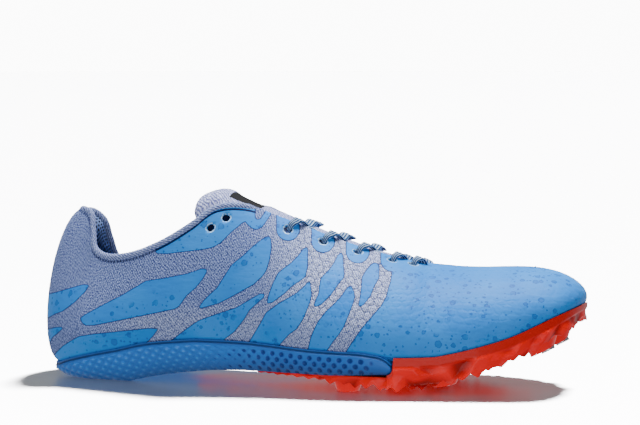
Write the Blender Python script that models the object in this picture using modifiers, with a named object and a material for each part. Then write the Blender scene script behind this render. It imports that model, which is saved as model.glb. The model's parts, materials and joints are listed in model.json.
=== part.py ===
"""Right track spike shoe, built from the shape of its last.

Metres, +Z up, +X towards the toe, -Y the outer (lateral) side. The heel starts at x = 0 while the
pieces are made, and the whole shoe then moves so that the middle of its box stands on the origin.
"""

import math
from collections import namedtuple

import bmesh
import bpy
from mathutils import Matrix, Vector

# Driving dimensions, in metres
LENGTH = 0.2785
WIDTH = 0.100
HEIGHT = 0.098
WALL = 0.0020
GAP = 0.0003
BAND_WIDTH = 0.0035
BAND_STEP = 0.0005
INSOLE_THICKNESS = 0.0030
PLATE_THICKNESS = 0.0024
PLATE_RIM = 0.0022
PLATE_INSET = 0.0020
FOAM_OUTSET = 0.0008
FOAM_BULGE = 0.0016
FOAM_TUCK = 0.0010
TONGUE_THICKNESS = 0.0026
TONGUE_CLEARANCE = 0.0009
PAD_THICKNESS = 0.0045
EYELET_DIAMETER = 0.0042
EYELET_INSET = 0.0052
LACE_WIDTH = 0.0062
LACE_THICKNESS = 0.0013
LACE_CLEARANCE = 0.0006
SOCKET_DIAMETER = 0.0072
SOCKET_BORE = 0.0045
SOCKET_DEPTH = 0.0060
BOSS_HEIGHT = 0.0070
BOSS_TIP = 0.0110
BOSS_FOOT = 0.0165
TOOTH_SIZE = 0.0115
TOOTH_HEIGHT = 0.0062
TOOTH_PITCH = 0.0120
POCKET_DEPTH = 0.0009

LATERAL = -1
MEDIAL = 1

# One row of the last for each station from the middle of the heel to the tip of the toe. Along the
# feather line: foot_x of LENGTH, then the lateral and medial half widths of WIDTH. Along the top
# edge or the ridge: top_x of LENGTH, the half opening and the shift to the medial side of WIDTH,
# top_z of HEIGHT and tilt, how much higher the lateral edge is than the medial one. The wall leaves
# the foot outwards by the bows of WIDTH and bow_up of HEIGHT, and meets the top from outwards by
# over of WIDTH and over_down of HEIGHT.
Rib = namedtuple("Rib", "foot_x lateral medial top_x opening shift top_z tilt "
                        "bow_lateral bow_medial bow_up over over_down")
RIBS = (
    Rib(0.018, 0.000, 0.000, 0.060, 0.000, 0.000, 0.864, 0.000, 0.145, 0.145, 0.16, 0.16, 0.22),
    Rib(0.022, 0.090, 0.090, 0.064, 0.070, 0.000, 0.852, 0.030, 0.13, 0.13, 0.16, 0.14, 0.22),
    Rib(0.037, 0.185, 0.178, 0.078, 0.098, 0.000, 0.812, 0.048, 0.115, 0.115, 0.15, 0.11, 0.20),
    Rib(0.064, 0.255, 0.245, 0.095, 0.135, 0.000, 0.725, 0.064, 0.09, 0.09, 0.14, 0.08, 0.18),
    Rib(0.099, 0.300, 0.288, 0.113, 0.182, 0.000, 0.636, 0.078, 0.06, 0.06, 0.13, 0.05, 0.16),
    Rib(0.142, 0.325, 0.305, 0.140, 0.232, 0.000, 0.602, 0.064, 0.05, 0.06, 0.12, 0.04, 0.15),
    Rib(0.195, 0.338, 0.300, 0.194, 0.275, 0.000, 0.627, 0.042, 0.05, 0.07, 0.12, 0.03, 0.15),
    Rib(0.255, 0.345, 0.285, 0.252, 0.285, 0.000, 0.692, 0.034, 0.05, 0.09, 0.12, 0.04, 0.17),
    Rib(0.312, 0.355, 0.275, 0.305, 0.275, 0.000, 0.777, 0.034, 0.05, 0.10, 0.13, 0.05, 0.18),
    Rib(0.362, 0.365, 0.270, 0.348, 0.245, 0.000, 0.860, 0.036, 0.05, 0.11, 0.14, 0.08, 0.16),
    Rib(0.411, 0.380, 0.275, 0.401, 0.200, 0.000, 0.873, 0.040, 0.05, 0.11, 0.15, 0.12, 0.12),
    Rib(0.468, 0.415, 0.295, 0.465, 0.180, 0.000, 0.822, 0.042, 0.05, 0.10, 0.16, 0.16, 0.08),
    Rib(0.532, 0.468, 0.340, 0.528, 0.160, 0.000, 0.756, 0.042, 0.05, 0.08, 0.17, 0.18, 0.06),
    Rib(0.596, 0.512, 0.390, 0.589, 0.140, 0.002, 0.694, 0.042, 0.05, 0.07, 0.18, 0.19, 0.05),
    Rib(0.645, 0.520, 0.420, 0.638, 0.122, 0.004, 0.653, 0.040, 0.05, 0.06, 0.18, 0.20, 0.04),
    Rib(0.688, 0.508, 0.435, 0.677, 0.100, 0.007, 0.626, 0.034, 0.05, 0.06, 0.18, 0.20, 0.03),
    Rib(0.727, 0.490, 0.442, 0.706, 0.065, 0.010, 0.614, 0.020, 0.05, 0.06, 0.17, 0.20, 0.02),
    Rib(0.759, 0.470, 0.443, 0.722, 0.000, 0.013, 0.611, 0.000, 0.05, 0.05, 0.16, 0.18, 0.01),
    Rib(0.816, 0.425, 0.435, 0.770, 0.000, 0.020, 0.600, 0.000, 0.05, 0.05, 0.14, 0.16, 0.00),
    Rib(0.869, 0.372, 0.414, 0.812, 0.000, 0.028, 0.599, 0.000, 0.05, 0.05, 0.12, 0.15, 0.00),
    Rib(0.915, 0.315, 0.380, 0.848, 0.000, 0.036, 0.603, 0.000, 0.05, 0.05, 0.10, 0.14, 0.00),
    Rib(0.950, 0.262, 0.335, 0.874, 0.000, 0.042, 0.605, 0.000, 0.04, 0.04, 0.09, 0.13, 0.00),
    Rib(0.979, 0.190, 0.258, 0.892, 0.000, 0.048, 0.604, 0.000, 0.04, 0.04, 0.08, 0.12, 0.00),
    Rib(0.994, 0.090, 0.165, 0.902, 0.000, 0.052, 0.602, 0.000, 0.04, 0.04, 0.07, 0.12, 0.00),
    Rib(0.999, -0.040, 0.040, 0.908, 0.000, 0.050, 0.601, 0.000, 0.04, 0.04, 0.07, 0.12, 0.00),
)
LAST_RIB = len(RIBS) - 1
THROAT_END = 17

# Where the upper sits on the sole, seen from the side: x of LENGTH, z of HEIGHT
FEATHER = (
    (0.000, 0.055), (0.039, 0.069), (0.061, 0.090), (0.089, 0.113), (0.127, 0.139),
    (0.167, 0.163), (0.225, 0.202), (0.277, 0.219), (0.331, 0.230), (0.404, 0.229),
    (0.477, 0.220), (0.551, 0.210), (0.630, 0.208), (0.670, 0.196), (0.700, 0.186),
    (0.763, 0.198), (0.798, 0.218), (0.830, 0.243), (0.866, 0.280), (0.898, 0.314),
    (0.940, 0.364), (0.964, 0.397), (0.988, 0.428), (1.000, 0.444),
)

# The underside of the foam and the plate from the side, without lugs: x of LENGTH, z of HEIGHT
UNDERSIDE = (
    (0.000, 0.045), (0.018, 0.037), (0.032, 0.024), (0.057, 0.008), (0.082, 0.000),
    (0.190, 0.000), (0.209, 0.012), (0.238, 0.030), (0.273, 0.047), (0.312, 0.062),
    (0.365, 0.076), (0.429, 0.081), (0.514, 0.084), (0.592, 0.086), (0.667, 0.086),
    (0.709, 0.082), (0.745, 0.090), (0.784, 0.108), (0.826, 0.136), (0.872, 0.182),
    (0.904, 0.222), (0.947, 0.284), (0.979, 0.343), (1.000, 0.390),
)

# The tail of the plate, let into the foam: x of LENGTH, lateral and medial edges of WIDTH
TAIL = (
    (0.287, 0.030, -0.030), (0.290, 0.090, 0.010), (0.300, 0.140, 0.050), (0.326, 0.200, 0.076),
    (0.362, 0.240, 0.090), (0.401, 0.275, 0.110), (0.443, 0.330, 0.150), (0.496, 0.395, 0.225),
    (0.550, 0.445, 0.310), (0.603, 0.488, 0.365), (0.645, 0.495, 0.390),
)
PLATE_FRONT = 0.688
TEETH_START = 0.530

# Spike sockets: x of LENGTH, y of WIDTH. The first three stand on the floor.
SOCKETS = (
    (0.606, -0.385), (0.704, 0.333), (0.663, 0.005), (0.773, -0.293),
    (0.809, 0.315), (0.930, -0.075), (0.934, 0.235),
)
STANDING = 3

# Open hexagons of the tread: x of LENGTH, y of WIDTH, across the corners of WIDTH
POCKETS = (
    (0.870, 0.080, 0.20), (0.800, -0.060, 0.20), (0.800, 0.140, 0.18), (0.735, 0.060, 0.19),
    (0.735, -0.150, 0.18), (0.655, 0.170, 0.15), (0.600, -0.150, 0.18), (0.600, 0.070, 0.19),
    (0.470, -0.060, 0.13), (0.430, -0.180, 0.12), (0.385, -0.060, 0.13), (0.345, -0.150, 0.12),
)

# Crown of the tongue from its curled top to its toe end: x of LENGTH, z of HEIGHT, then of WIDTH
# the half width where it stands free, or how far it reaches in under the throat
TONGUE = (
    (0.290, 0.890, 0.150), (0.299, 0.935, 0.170), (0.314, 0.963, 0.185), (0.334, 0.975, 0.195),
    (0.352, 0.962, 0.200), (0.374, 0.932, 0.015), (0.400, 0.900, 0.045), (0.437, 0.864, 0.080),
    (0.496, 0.799, 0.120), (0.554, 0.739, 0.120), (0.616, 0.682, 0.120), (0.660, 0.645, 0.120),
    (0.690, 0.612, 0.120), (0.712, 0.582, 0.120),
)
TONGUE_FREE_ROWS = 5

# Eyelets along the throat, as shares of LENGTH; the laced ones carry a bar
PLAIN_EYELETS = (0.341, 0.368, 0.421)
LACED_EYELETS = (0.484, 0.547, 0.606, 0.663, 0.697)

# Row positions up the wall, from the feather line to the band along the edge
WALL_ROWS = (0.0, 0.05, 0.12, 0.20, 0.30, 0.41, 0.52, 0.63, 0.74, 0.83)

COLUMNS_PER_RIB = 2
ROUND_SEGMENTS = 14


def clear_scene():
    """Remove every object from the open scene."""
    for item in list(bpy.data.objects):
        bpy.data.objects.remove(item, do_unlink=True)


def make_collection(name):
    """Add a collection to the scene."""
    group = bpy.data.collections.new(name)
    bpy.context.scene.collection.children.link(group)
    return group


def make_material(name, colour, roughness, metallic=0.0):
    """Make a Principled material of one colour."""
    material = bpy.data.materials.new(name)
    material.use_nodes = True
    shader = material.node_tree.nodes["Principled BSDF"]
    shader.inputs["Base Color"].default_value = (*colour, 1.0)
    shader.inputs["Roughness"].default_value = roughness
    shader.inputs["Metallic"].default_value = metallic
    return material


def finish_object(name, bm, material, group):
    """Turn a bmesh into a named object with outward faces."""
    bmesh.ops.remove_doubles(bm, verts=bm.verts, dist=0.00002)
    bmesh.ops.dissolve_degenerate(bm, edges=bm.edges, dist=0.00001)
    bmesh.ops.recalc_face_normals(bm, faces=bm.faces)
    mesh = bpy.data.meshes.new(name)
    bm.to_mesh(mesh)
    bm.free()
    mesh.materials.append(material)
    mesh.shade_smooth()
    mesh.set_sharp_from_angle(angle=math.radians(40))
    item = bpy.data.objects.new(name, mesh)
    group.objects.link(item)
    return item


def blend_rows(before, start, end, after, part):
    """Interpolate between start and end on a Catmull-Rom curve."""
    result = []
    for a, b, c, d in zip(before, start, end, after):
        slope_b = (c - a) / 2
        slope_c = (d - b) / 2
        rise = c - b
        curve = 3 * rise - 2 * slope_b - slope_c
        twist = slope_b + slope_c - 2 * rise
        result.append(b + part * (slope_b + part * (curve + part * twist)))
    return result


def mirrored(rib):
    """Give the same station as seen across the middle of the heel or the toe."""
    return rib._replace(lateral=-rib.medial, medial=-rib.lateral, opening=-rib.opening, tilt=-rib.tilt)


def rib_at(station):
    """Read the last between its rows, at any station from 0 to LAST_RIB."""
    rows = (mirrored(RIBS[1]),) + RIBS + (mirrored(RIBS[-2]),)
    whole = min(int(math.floor(station)), LAST_RIB - 1)
    whole = max(whole, 0)
    rib = Rib(*blend_rows(*rows[whole:whole + 4], station - whole))
    if station >= THROAT_END:
        return rib._replace(opening=0.0, tilt=0.0)
    return rib


def read_table(table, share):
    """Read the second column of a table on a curve that never overshoots its rows."""
    if share <= table[0][0]:
        return table[0][1]
    if share >= table[-1][0]:
        return table[-1][1]
    index = max(i for i, row in enumerate(table) if row[0] <= share)
    slopes = [(b[1] - a[1]) / (b[0] - a[0]) for a, b in zip(table, table[1:])]

    def slope_at(i):
        if i == 0 or i == len(table) - 1:
            return slopes[min(i, len(slopes) - 1)]
        left, right = slopes[i - 1], slopes[i]
        if left * right <= 0:
            return 0.0
        return 2 * left * right / (left + right)

    (x0, y0), (x1, y1) = table[index][:2], table[index + 1][:2]
    step = x1 - x0
    part = (share - x0) / step
    first = slope_at(index) * step
    last = slope_at(index + 1) * step
    rise = y1 - y0
    return y0 + part * (first + part * (3 * rise - 2 * first - last + part * (first + last - 2 * rise)))


def feather_z(x):
    """Height of the top of the sole at x."""
    return HEIGHT * read_table(FEATHER, x / LENGTH)


def underside_z(x):
    """Height of the bottom of foam and plate at x."""
    return HEIGHT * read_table(UNDERSIDE, x / LENGTH)


def outline(station, side):
    """Give the plan point of the feather line and its outward direction."""
    step = 0.01
    low = rib_at(max(station - step, 0.0))
    high = rib_at(min(station + step, float(LAST_RIB)))
    here = rib_at(station)
    half = here.lateral if side == LATERAL else here.medial
    run = (high.foot_x - low.foot_x) * LENGTH
    if side == LATERAL:
        spread = (high.lateral - low.lateral) * WIDTH
    else:
        spread = (high.medial - low.medial) * WIDTH
    if station <= 0.0:
        outward = Vector((-1.0, 0.0, 0.0))
    elif station >= LAST_RIB:
        outward = Vector((1.0, 0.0, 0.0))
    else:
        outward = Vector((-spread, side * run, 0.0)).normalized()
    point = Vector((here.foot_x * LENGTH, side * half * WIDTH, 0.0))
    return point, outward


def sole_edge(station, side, outset):
    """Give the plan point of the sole's outline, moved outwards."""
    point, outward = outline(station, side)
    return point + outward * outset


def handles(station, side):
    """Give the four points of the curve that a wall follows from the sole to its top edge."""
    rib = rib_at(station)
    foot, outward = outline(station, side)
    foot.z = feather_z(foot.x) + GAP
    bow = rib.bow_lateral if side == LATERAL else rib.bow_medial
    top = Vector((rib.top_x * LENGTH, (side * rib.opening + rib.shift) * WIDTH,
                  (rib.top_z - side * rib.tilt / 2) * HEIGHT))
    low = foot + outward * bow * WIDTH + Vector((0, 0, rib.bow_up * HEIGHT))
    high = top + outward * rib.over * WIDTH - Vector((0, 0, rib.over_down * HEIGHT))
    return foot, low, high, top


def wall_point(station, side, rise):
    """Give a point of the outer surface; rise runs from 0 at the sole to 1 at the top edge."""
    a, b, c, d = handles(station, side)
    rest = 1 - rise
    return a * rest ** 3 + b * (3 * rest * rest * rise) + c * (3 * rest * rise * rise) + d * rise ** 3


def wall_normal(station, side, rise):
    """Give the outward direction of the outer surface."""
    step = 0.02
    low = max(station - step, 0.0)
    high = min(station + step, float(LAST_RIB))
    along = wall_point(high, side, rise) - wall_point(low, side, rise)
    up = wall_point(station, side, min(rise + step, 1.0)) - wall_point(station, side, max(rise - step, 0.0))
    normal = along.cross(up)
    if side == MEDIAL:
        normal = -normal
    return normal.normalized()


def offset_point(station, side, rise, outset):
    """Give a point at a distance outside the outer surface, or inside it when negative."""
    return wall_point(station, side, rise) + wall_normal(station, side, rise) * outset


def rise_below_top(station, side, distance):
    """Find how far up the wall a point lies that is a distance below the top edge."""
    steps = 60
    travelled = 0.0
    last = wall_point(station, side, 1.0)
    for i in range(1, steps + 1):
        rise = 1 - i / steps
        here = wall_point(station, side, rise)
        travelled += (here - last).length
        if travelled >= distance:
            return rise
        last = here
    return 0.0


def station_of_top(share):
    """Find the station whose top edge lies at a share of LENGTH, along the collar and throat."""
    low, high = 4.0, float(LAST_RIB)
    for _ in range(30):
        middle = (low + high) / 2
        if rib_at(middle).top_x < share:
            low = middle
        else:
            high = middle
    return (low + high) / 2


def station_of_foot(x):
    """Find the station whose feather line lies at x."""
    low, high = 0.0, float(LAST_RIB)
    for _ in range(30):
        middle = (low + high) / 2
        if rib_at(middle).foot_x * LENGTH < x:
            low = middle
        else:
            high = middle
    return (low + high) / 2


def loft(sections):
    """Skin a row of closed sections of equal length; sections that shrink to a line close it."""
    bm = bmesh.new()
    rings = [[bm.verts.new(point) for point in section] for section in sections]
    count = len(sections[0])
    for ring, following in zip(rings, rings[1:]):
        for i in range(count):
            j = (i + 1) % count
            bm.faces.new((ring[i], ring[j], following[j], following[i]))
    return bm


def sheet(rows, columns, place):
    """Make a grid of rows by columns and move its points to place(row, column)."""
    bm = bmesh.new()
    bmesh.ops.create_grid(bm, x_segments=columns - 1, y_segments=rows - 1, size=0.5)
    for vert in bm.verts:
        column = round((vert.co.x + 0.5) * (columns - 1))
        row = round((vert.co.y + 0.5) * (rows - 1))
        vert.co = place(row, column)
    return bm


def thicken(item, thickness, offset=-1.0):
    """Give an open surface its wall."""
    modifier = item.modifiers.new("Wall", "SOLIDIFY")
    modifier.thickness = thickness
    modifier.offset = offset
    modifier.use_even_offset = True


def add_boolean(item, cutter, operation):
    """Cut or join one piece with another."""
    modifier = item.modifiers.new(operation.title(), "BOOLEAN")
    modifier.operation = operation
    modifier.solver = "EXACT"
    modifier.object = cutter


def as_cutter(bm, name, group):
    """Keep a shape as a hidden cutter."""
    bmesh.ops.recalc_face_normals(bm, faces=bm.faces)
    mesh = bpy.data.meshes.new(name)
    bm.to_mesh(mesh)
    bm.free()
    item = bpy.data.objects.new(name, mesh)
    item.hide_render = True
    item.display_type = "WIRE"
    group.objects.link(item)
    return item


def facing(direction, point):
    """Give the matrix that stands +Z along a direction at a point."""
    turn = Vector(direction).to_track_quat("Z", "Y").to_matrix().to_4x4()
    return Matrix.Translation(point) @ turn


def frustum(bottom_radius, top_radius, depth, segments, matrix):
    """Make a closed cone whose lower end stands on its matrix's origin."""
    bm = bmesh.new()
    bmesh.ops.create_cone(bm, cap_ends=True, segments=segments, radius1=bottom_radius,
                          radius2=top_radius, depth=depth)
    bmesh.ops.translate(bm, vec=(0, 0, depth / 2), verts=bm.verts)
    bmesh.ops.transform(bm, matrix=matrix, verts=bm.verts)
    return bm


def around_columns():
    """List the columns of the upper from the heel round the lateral side, the toe and back."""
    count = LAST_RIB * COLUMNS_PER_RIB
    lateral = [(LATERAL, i / COLUMNS_PER_RIB) for i in range(count + 1)]
    medial = [(MEDIAL, i / COLUMNS_PER_RIB) for i in range(count, -1, -1)]
    return lateral + medial


def band_share(station):
    """Fade the edge band out where the throat ends on the vamp."""
    return min(max(THROAT_END - station, 0.0), 1.0)


def point_out(item):
    """Turn an open wall over where its faces look into the shoe."""
    mesh = item.data
    middle = Vector((LENGTH / 2, 0.0, HEIGHT / 2))
    facing_out = sum((face.center - middle).dot(face.normal) * face.area for face in mesh.polygons)
    if facing_out < 0:
        mesh.flip_normals()


def build_upper(material, group, cutters):
    """Make the hollow upper, with a raised band along collar and throat and its eyelet holes."""
    columns = around_columns()
    rows = len(WALL_ROWS) + 3

    def place(row, column):
        side, station = columns[column]
        if row < len(WALL_ROWS):
            rise = WALL_ROWS[row]
            outset = 0.0
        else:
            edge = rise_below_top(station, side, BAND_WIDTH)
            rise = (edge - 0.006, edge, 1.0)[row - len(WALL_ROWS)]
            outset = (0.0, 1.0, 1.0)[row - len(WALL_ROWS)] * BAND_STEP * band_share(station)
        return offset_point(station, side, rise, outset)

    bm = sheet(rows, len(columns), place)
    upper = finish_object("upper", bm, material, group)
    point_out(upper)
    thicken(upper, WALL)
    for side in (LATERAL, MEDIAL):
        for number, share in enumerate(PLAIN_EYELETS + LACED_EYELETS, start=1):
            station = station_of_top(share)
            rise = rise_below_top(station, side, EYELET_INSET)
            normal = wall_normal(station, side, rise)
            start = wall_point(station, side, rise) - normal * (WALL * 2)
            drill = frustum(EYELET_DIAMETER / 2, EYELET_DIAMETER / 2, WALL * 4, 8, facing(normal, start))
            name = "eyelet_drill_%d_%d" % (number, side + 1)
            add_boolean(upper, as_cutter(drill, name, cutters), "DIFFERENCE")
    return upper


def plate_edges(x):
    """Give the lateral and medial edges of the plate's tail at x."""
    lateral = WIDTH * read_table([(row[0], row[1]) for row in TAIL], x / LENGTH)
    medial = WIDTH * read_table([(row[0], row[2]) for row in TAIL], x / LENGTH)
    return lateral, medial


def tail_stations():
    """List the x of the sections along the tail of the plate."""
    return [row[0] * LENGTH for row in TAIL]


def front_stations():
    """List the stations of the sections where the plate wraps the foam, after the first."""
    start = station_of_foot(PLATE_FRONT * LENGTH)
    steps = 2 * (LAST_RIB - int(start))
    return [start + (LAST_RIB - start) * i / steps for i in range(1, steps + 1)]


def build_plate(material, group, cutters):
    """Make the plate: a slab in the foam at the back, a tray that wraps the foam at the front."""
    front = PLATE_FRONT * LENGTH
    start = station_of_foot(front)
    sections = []
    for x in tail_stations():
        lateral, medial = plate_edges(x)
        low = underside_z(x)
        top = low + PLATE_THICKNESS
        inner_l = -lateral + min(PLATE_RIM, (lateral + medial) / 3)
        inner_m = medial - min(PLATE_RIM, (lateral + medial) / 3)
        sections.append([
            Vector((x, -lateral, low)), Vector((x, medial, low)),
            Vector((x, medial, top)), Vector((x, inner_m, top)), Vector((x, inner_m, top)),
            Vector((x, inner_l, top)), Vector((x, inner_l, top)), Vector((x, -lateral, top)),
        ])
    for number, station in enumerate([start, start + 0.06] + front_stations()):
        wall_up = 0.0 if number == 0 else 1.0
        rim = FOAM_OUTSET * wall_up - PLATE_INSET * (1 - wall_up)
        outsets = {"foot": -PLATE_INSET, "rim": rim, "lip": rim - PLATE_RIM,
                   "floor": -PLATE_INSET - PLATE_RIM}
        section = []
        for kind, side in (("foot", LATERAL), ("foot", MEDIAL), ("rim", MEDIAL), ("lip", MEDIAL),
                           ("floor", MEDIAL), ("floor", LATERAL), ("lip", LATERAL), ("rim", LATERAL)):
            outset = outsets[kind]
            point = sole_edge(station, side, outset)
            low = underside_z(point.x)
            floor = low + PLATE_THICKNESS
            if kind == "foot":
                point.z = low
            elif kind == "floor":
                point.z = floor
            else:
                point.z = floor + (feather_z(point.x) - floor) * wall_up
            section.append(point)
        sections.append(section)
    plate = finish_object("spike_plate", loft(sections), material, group)
    add_bosses(plate, cutters)
    add_teeth(plate, cutters)
    add_pockets(plate, cutters)
    return plate


def underside_normal(x):
    """Give the downward direction square to the underside at x."""
    step = 0.004
    slope = (underside_z(x + step) - underside_z(x - step)) / (2 * step)
    return Vector((slope, 0.0, -1.0)).normalized()


def socket_places():
    """Give each socket's tip on the tread and the direction that it points down in."""
    places = []
    for number, (along, across) in enumerate(SOCKETS):
        x = along * LENGTH
        y = across * WIDTH
        low = underside_z(x)
        if number < STANDING:
            tip = Vector((x, y, 0.0))
            places.append((tip, Vector((0, 0, -1))))
        else:
            down = underside_normal(x)
            tip = Vector((x, y, low)) + down * BOSS_HEIGHT
            places.append((tip, down))
    return places


def add_bosses(plate, cutters):
    """Join a round boss to the plate at each socket and bore it."""
    bore = SOCKET_DIAMETER / 2 + GAP
    for number, (tip, down) in enumerate(socket_places(), start=1):
        drop = underside_z(tip.x) - tip.z if number <= STANDING else BOSS_HEIGHT
        depth = drop + PLATE_THICKNESS * 0.6
        boss = frustum(BOSS_TIP / 2, BOSS_FOOT / 2, depth, ROUND_SEGMENTS, facing(-down, tip))
        add_boolean(plate, as_cutter(boss, "boss_%d" % number, cutters), "UNION")
    for number, (tip, down) in enumerate(socket_places(), start=1):
        start = tip + down * SOCKET_DEPTH / 2
        length = SOCKET_DEPTH * 1.5 + GAP
        drill = frustum(bore, bore, length, ROUND_SEGMENTS, facing(-down, start))
        add_boolean(plate, as_cutter(drill, "socket_drill_%d" % number, cutters), "DIFFERENCE")


def tread_edge(station, side, inset):
    """Give a point of the plate's underside, in from its edge, on tail or forefoot."""
    x = rib_at(station).foot_x * LENGTH
    if x >= PLATE_FRONT * LENGTH:
        point = sole_edge(station, side, -PLATE_INSET - inset)
    else:
        lateral, medial = plate_edges(x)
        across = lateral if side == LATERAL else medial
        point = Vector((x, side * (across - inset), 0.0))
    point.z = underside_z(point.x)
    return point


def edge_walk(side, inset, pitch, start):
    """Walk along the plate's edge towards the toe and list points one pitch apart."""
    points = []
    last = tread_edge(start, side, inset)
    travelled = pitch / 2
    steps = 400
    for i in range(1, steps + 1):
        point = tread_edge(start + (LAST_RIB - start) * i / steps, side, inset)
        travelled += (point - last).length
        last = point
        if travelled >= pitch:
            points.append(point)
            travelled -= pitch
    return points


def add_teeth(plate, cutters):
    """Join a row of pointed lugs along each edge of the plate, clear of the bosses."""
    tips = [tip for tip, _ in socket_places()]
    start = station_of_foot(TEETH_START * LENGTH)
    number = 0
    for side in (LATERAL, MEDIAL):
        for point in edge_walk(side, TOOTH_SIZE / 2 + GAP, TOOTH_PITCH, start):
            if any((point.xy - tip.xy).length < BOSS_FOOT * 0.62 for tip in tips):
                continue
            number += 1
            down = underside_normal(point.x)
            root = point - down * PLATE_THICKNESS * 0.5
            depth = TOOTH_HEIGHT + PLATE_THICKNESS * 0.5
            tooth = frustum(TOOTH_SIZE / 2, TOOTH_SIZE * 0.08, depth, 4, facing(down, root))
            add_boolean(plate, as_cutter(tooth, "tooth_%d" % number, cutters), "UNION")


def add_pockets(plate, cutters):
    """Sink the open hexagons of the tread into the plate."""
    for number, (along, across, size) in enumerate(POCKETS, start=1):
        x = along * LENGTH
        down = underside_normal(x)
        point = Vector((x, across * WIDTH, underside_z(x)))
        radius = size * WIDTH / 2
        start = point + down * BOSS_HEIGHT
        depth = BOSS_HEIGHT + POCKET_DEPTH
        pocket = frustum(radius, radius, depth, 6, facing(-down, start))
        add_boolean(plate, as_cutter(pocket, "pocket_%d" % number, cutters), "DIFFERENCE")


def build_sockets(material, group):
    """Turn the metal sleeves that the spikes screw into."""
    outer = SOCKET_DIAMETER / 2
    inner = SOCKET_BORE / 2
    for number, (tip, down) in enumerate(socket_places(), start=1):
        bm = bmesh.new()
        corners = ((inner, 0.0), (outer, 0.0), (outer, SOCKET_DEPTH - GAP), (inner, SOCKET_DEPTH - GAP))
        ring = [bm.verts.new((radius, 0.0, height)) for radius, height in corners]
        edges = [bm.edges.new((ring[i], ring[(i + 1) % 4])) for i in range(4)]
        bmesh.ops.spin(bm, geom=ring + edges, axis=(0, 0, 1), cent=(0, 0, 0), steps=ROUND_SEGMENTS,
                       angle=math.tau, use_merge=True)
        bmesh.ops.transform(bm, matrix=facing(-down, tip), verts=bm.verts)
        finish_object("spike_socket_%d" % number, bm, material, group)


def foam_section(station, wrapped):
    """Give the foam's outline across the shoe, full width or inside the plate's tray."""
    inner = -PLATE_INSET - PLATE_RIM - GAP
    outsets = (inner, inner, inner) if wrapped else (FOAM_OUTSET, FOAM_BULGE, -FOAM_TUCK)
    section = []
    for side in (LATERAL, MEDIAL):
        top, middle, bottom = (sole_edge(station, side, outset) for outset in outsets)
        top.z = feather_z(top.x)
        bottom.z = underside_z(bottom.x)
        if wrapped:
            bottom.z += PLATE_THICKNESS + GAP
        middle.z = top.z * 0.45 + bottom.z * 0.55
        half = [top, middle, bottom]
        section += half if side == LATERAL else reversed(half)
    return section


def tail_recess():
    """Make the shape of the plate's tail, grown by the gap, that the foam is cut with."""
    sections = []
    start = station_of_foot(PLATE_FRONT * LENGTH)
    rows = [(x - GAP, *plate_edges(x)) for x in tail_stations()]
    left = sole_edge(start, LATERAL, -PLATE_INSET)
    right = sole_edge(start, MEDIAL, -PLATE_INSET)
    rows.append((left.x + GAP, -left.y, right.y))
    for x, lateral, medial in rows:
        top = underside_z(x) + PLATE_THICKNESS + GAP
        bottom = top - PLATE_THICKNESS * 2
        sections.append([Vector((x, -lateral - GAP, bottom)), Vector((x, medial + GAP, bottom)),
                         Vector((x, medial + GAP, top)), Vector((x, -lateral - GAP, top))])
    bm = loft(sections)
    bmesh.ops.holes_fill(bm, edges=bm.edges)
    return bm


def build_foam(material, group, cutters):
    """Make the foam sole: full width at the back, a core inside the plate's tray at the front."""
    front = PLATE_FRONT * LENGTH
    rear_end = station_of_foot(front - 3 * GAP)
    rear_steps = 2 * int(rear_end)
    rear = [rear_end * i / rear_steps for i in range(rear_steps + 1)]
    ahead = [station_of_foot(front - 1.5 * GAP)] + front_stations()
    sections = [foam_section(station, False) for station in rear]
    sections += [foam_section(station, True) for station in ahead]
    foam = finish_object("foam_sole", loft(sections), material, group)
    add_boolean(foam, as_cutter(tail_recess(), "tail_recess", cutters), "DIFFERENCE")
    return foam


def build_insole(material, group):
    """Make the insole, on the sole and inside the wall of the upper."""
    inset = -WALL - 2 * GAP
    sections = []
    for i in range(LAST_RIB * COLUMNS_PER_RIB + 1):
        station = i / COLUMNS_PER_RIB
        section = []
        for side, lift in ((LATERAL, INSOLE_THICKNESS), (LATERAL, 0.0),
                           (MEDIAL, 0.0), (MEDIAL, INSOLE_THICKNESS)):
            point = sole_edge(station, side, inset)
            point.z = feather_z(point.x) + GAP + lift
            section.append(point)
        sections.append(section)
    return finish_object("insole", loft(sections), material, group)


def tongue_crown(share):
    """Height of the tongue's middle at a share of LENGTH, where it lies under the lacing."""
    return HEIGHT * read_table(TONGUE[TONGUE_FREE_ROWS - 2:], share)


def between(points, part=0.5):
    """Give the point between the second and third of four points, on a smooth curve."""
    return Vector(blend_rows(*points, part))


def bound_tongue_row(share, height, wing):
    """Give the points across the tongue where its edges lie under the throat."""
    station = station_of_top(share)
    inset = -(WALL + TONGUE_CLEARANCE)
    edges = {}
    for side in (LATERAL, MEDIAL):
        edges[side] = [offset_point(station, side, rise_below_top(station, side, distance), inset)
                       for distance in (wing, wing / 2, 0.0004)]
    crown = Vector((share * LENGTH, rib_at(station).shift * WIDTH, height))
    left, right = edges[LATERAL], edges[MEDIAL]
    near = between((left[1], left[2], crown, right[2]))
    far = between((right[1], right[2], crown, left[2]))
    return left + [near, crown, far] + right[::-1]


def free_tongue_row(share, height, half):
    """Give the points across the tongue where it stands above the collar."""
    row = []
    for i in range(9):
        across = (i - 4) / 4
        sag = half * 0.36 * across * across
        row.append(Vector((share * LENGTH, half * across, height - sag)))
    return row


def build_tongue(material, group):
    """Make the tongue, free and curled at its top and tucked under both sides of the throat."""
    rows = []
    for number, (share, height, width) in enumerate(TONGUE):
        if number < TONGUE_FREE_ROWS:
            rows.append(free_tongue_row(share, height * HEIGHT, width * WIDTH))
        else:
            rows.append(bound_tongue_row(share, height * HEIGHT, width * WIDTH))

    def place(row, column):
        return rows[row][column]

    tongue = finish_object("tongue", sheet(len(rows), 9, place), material, group)
    point_up(tongue)
    thicken(tongue, TONGUE_THICKNESS)
    return tongue


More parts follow.
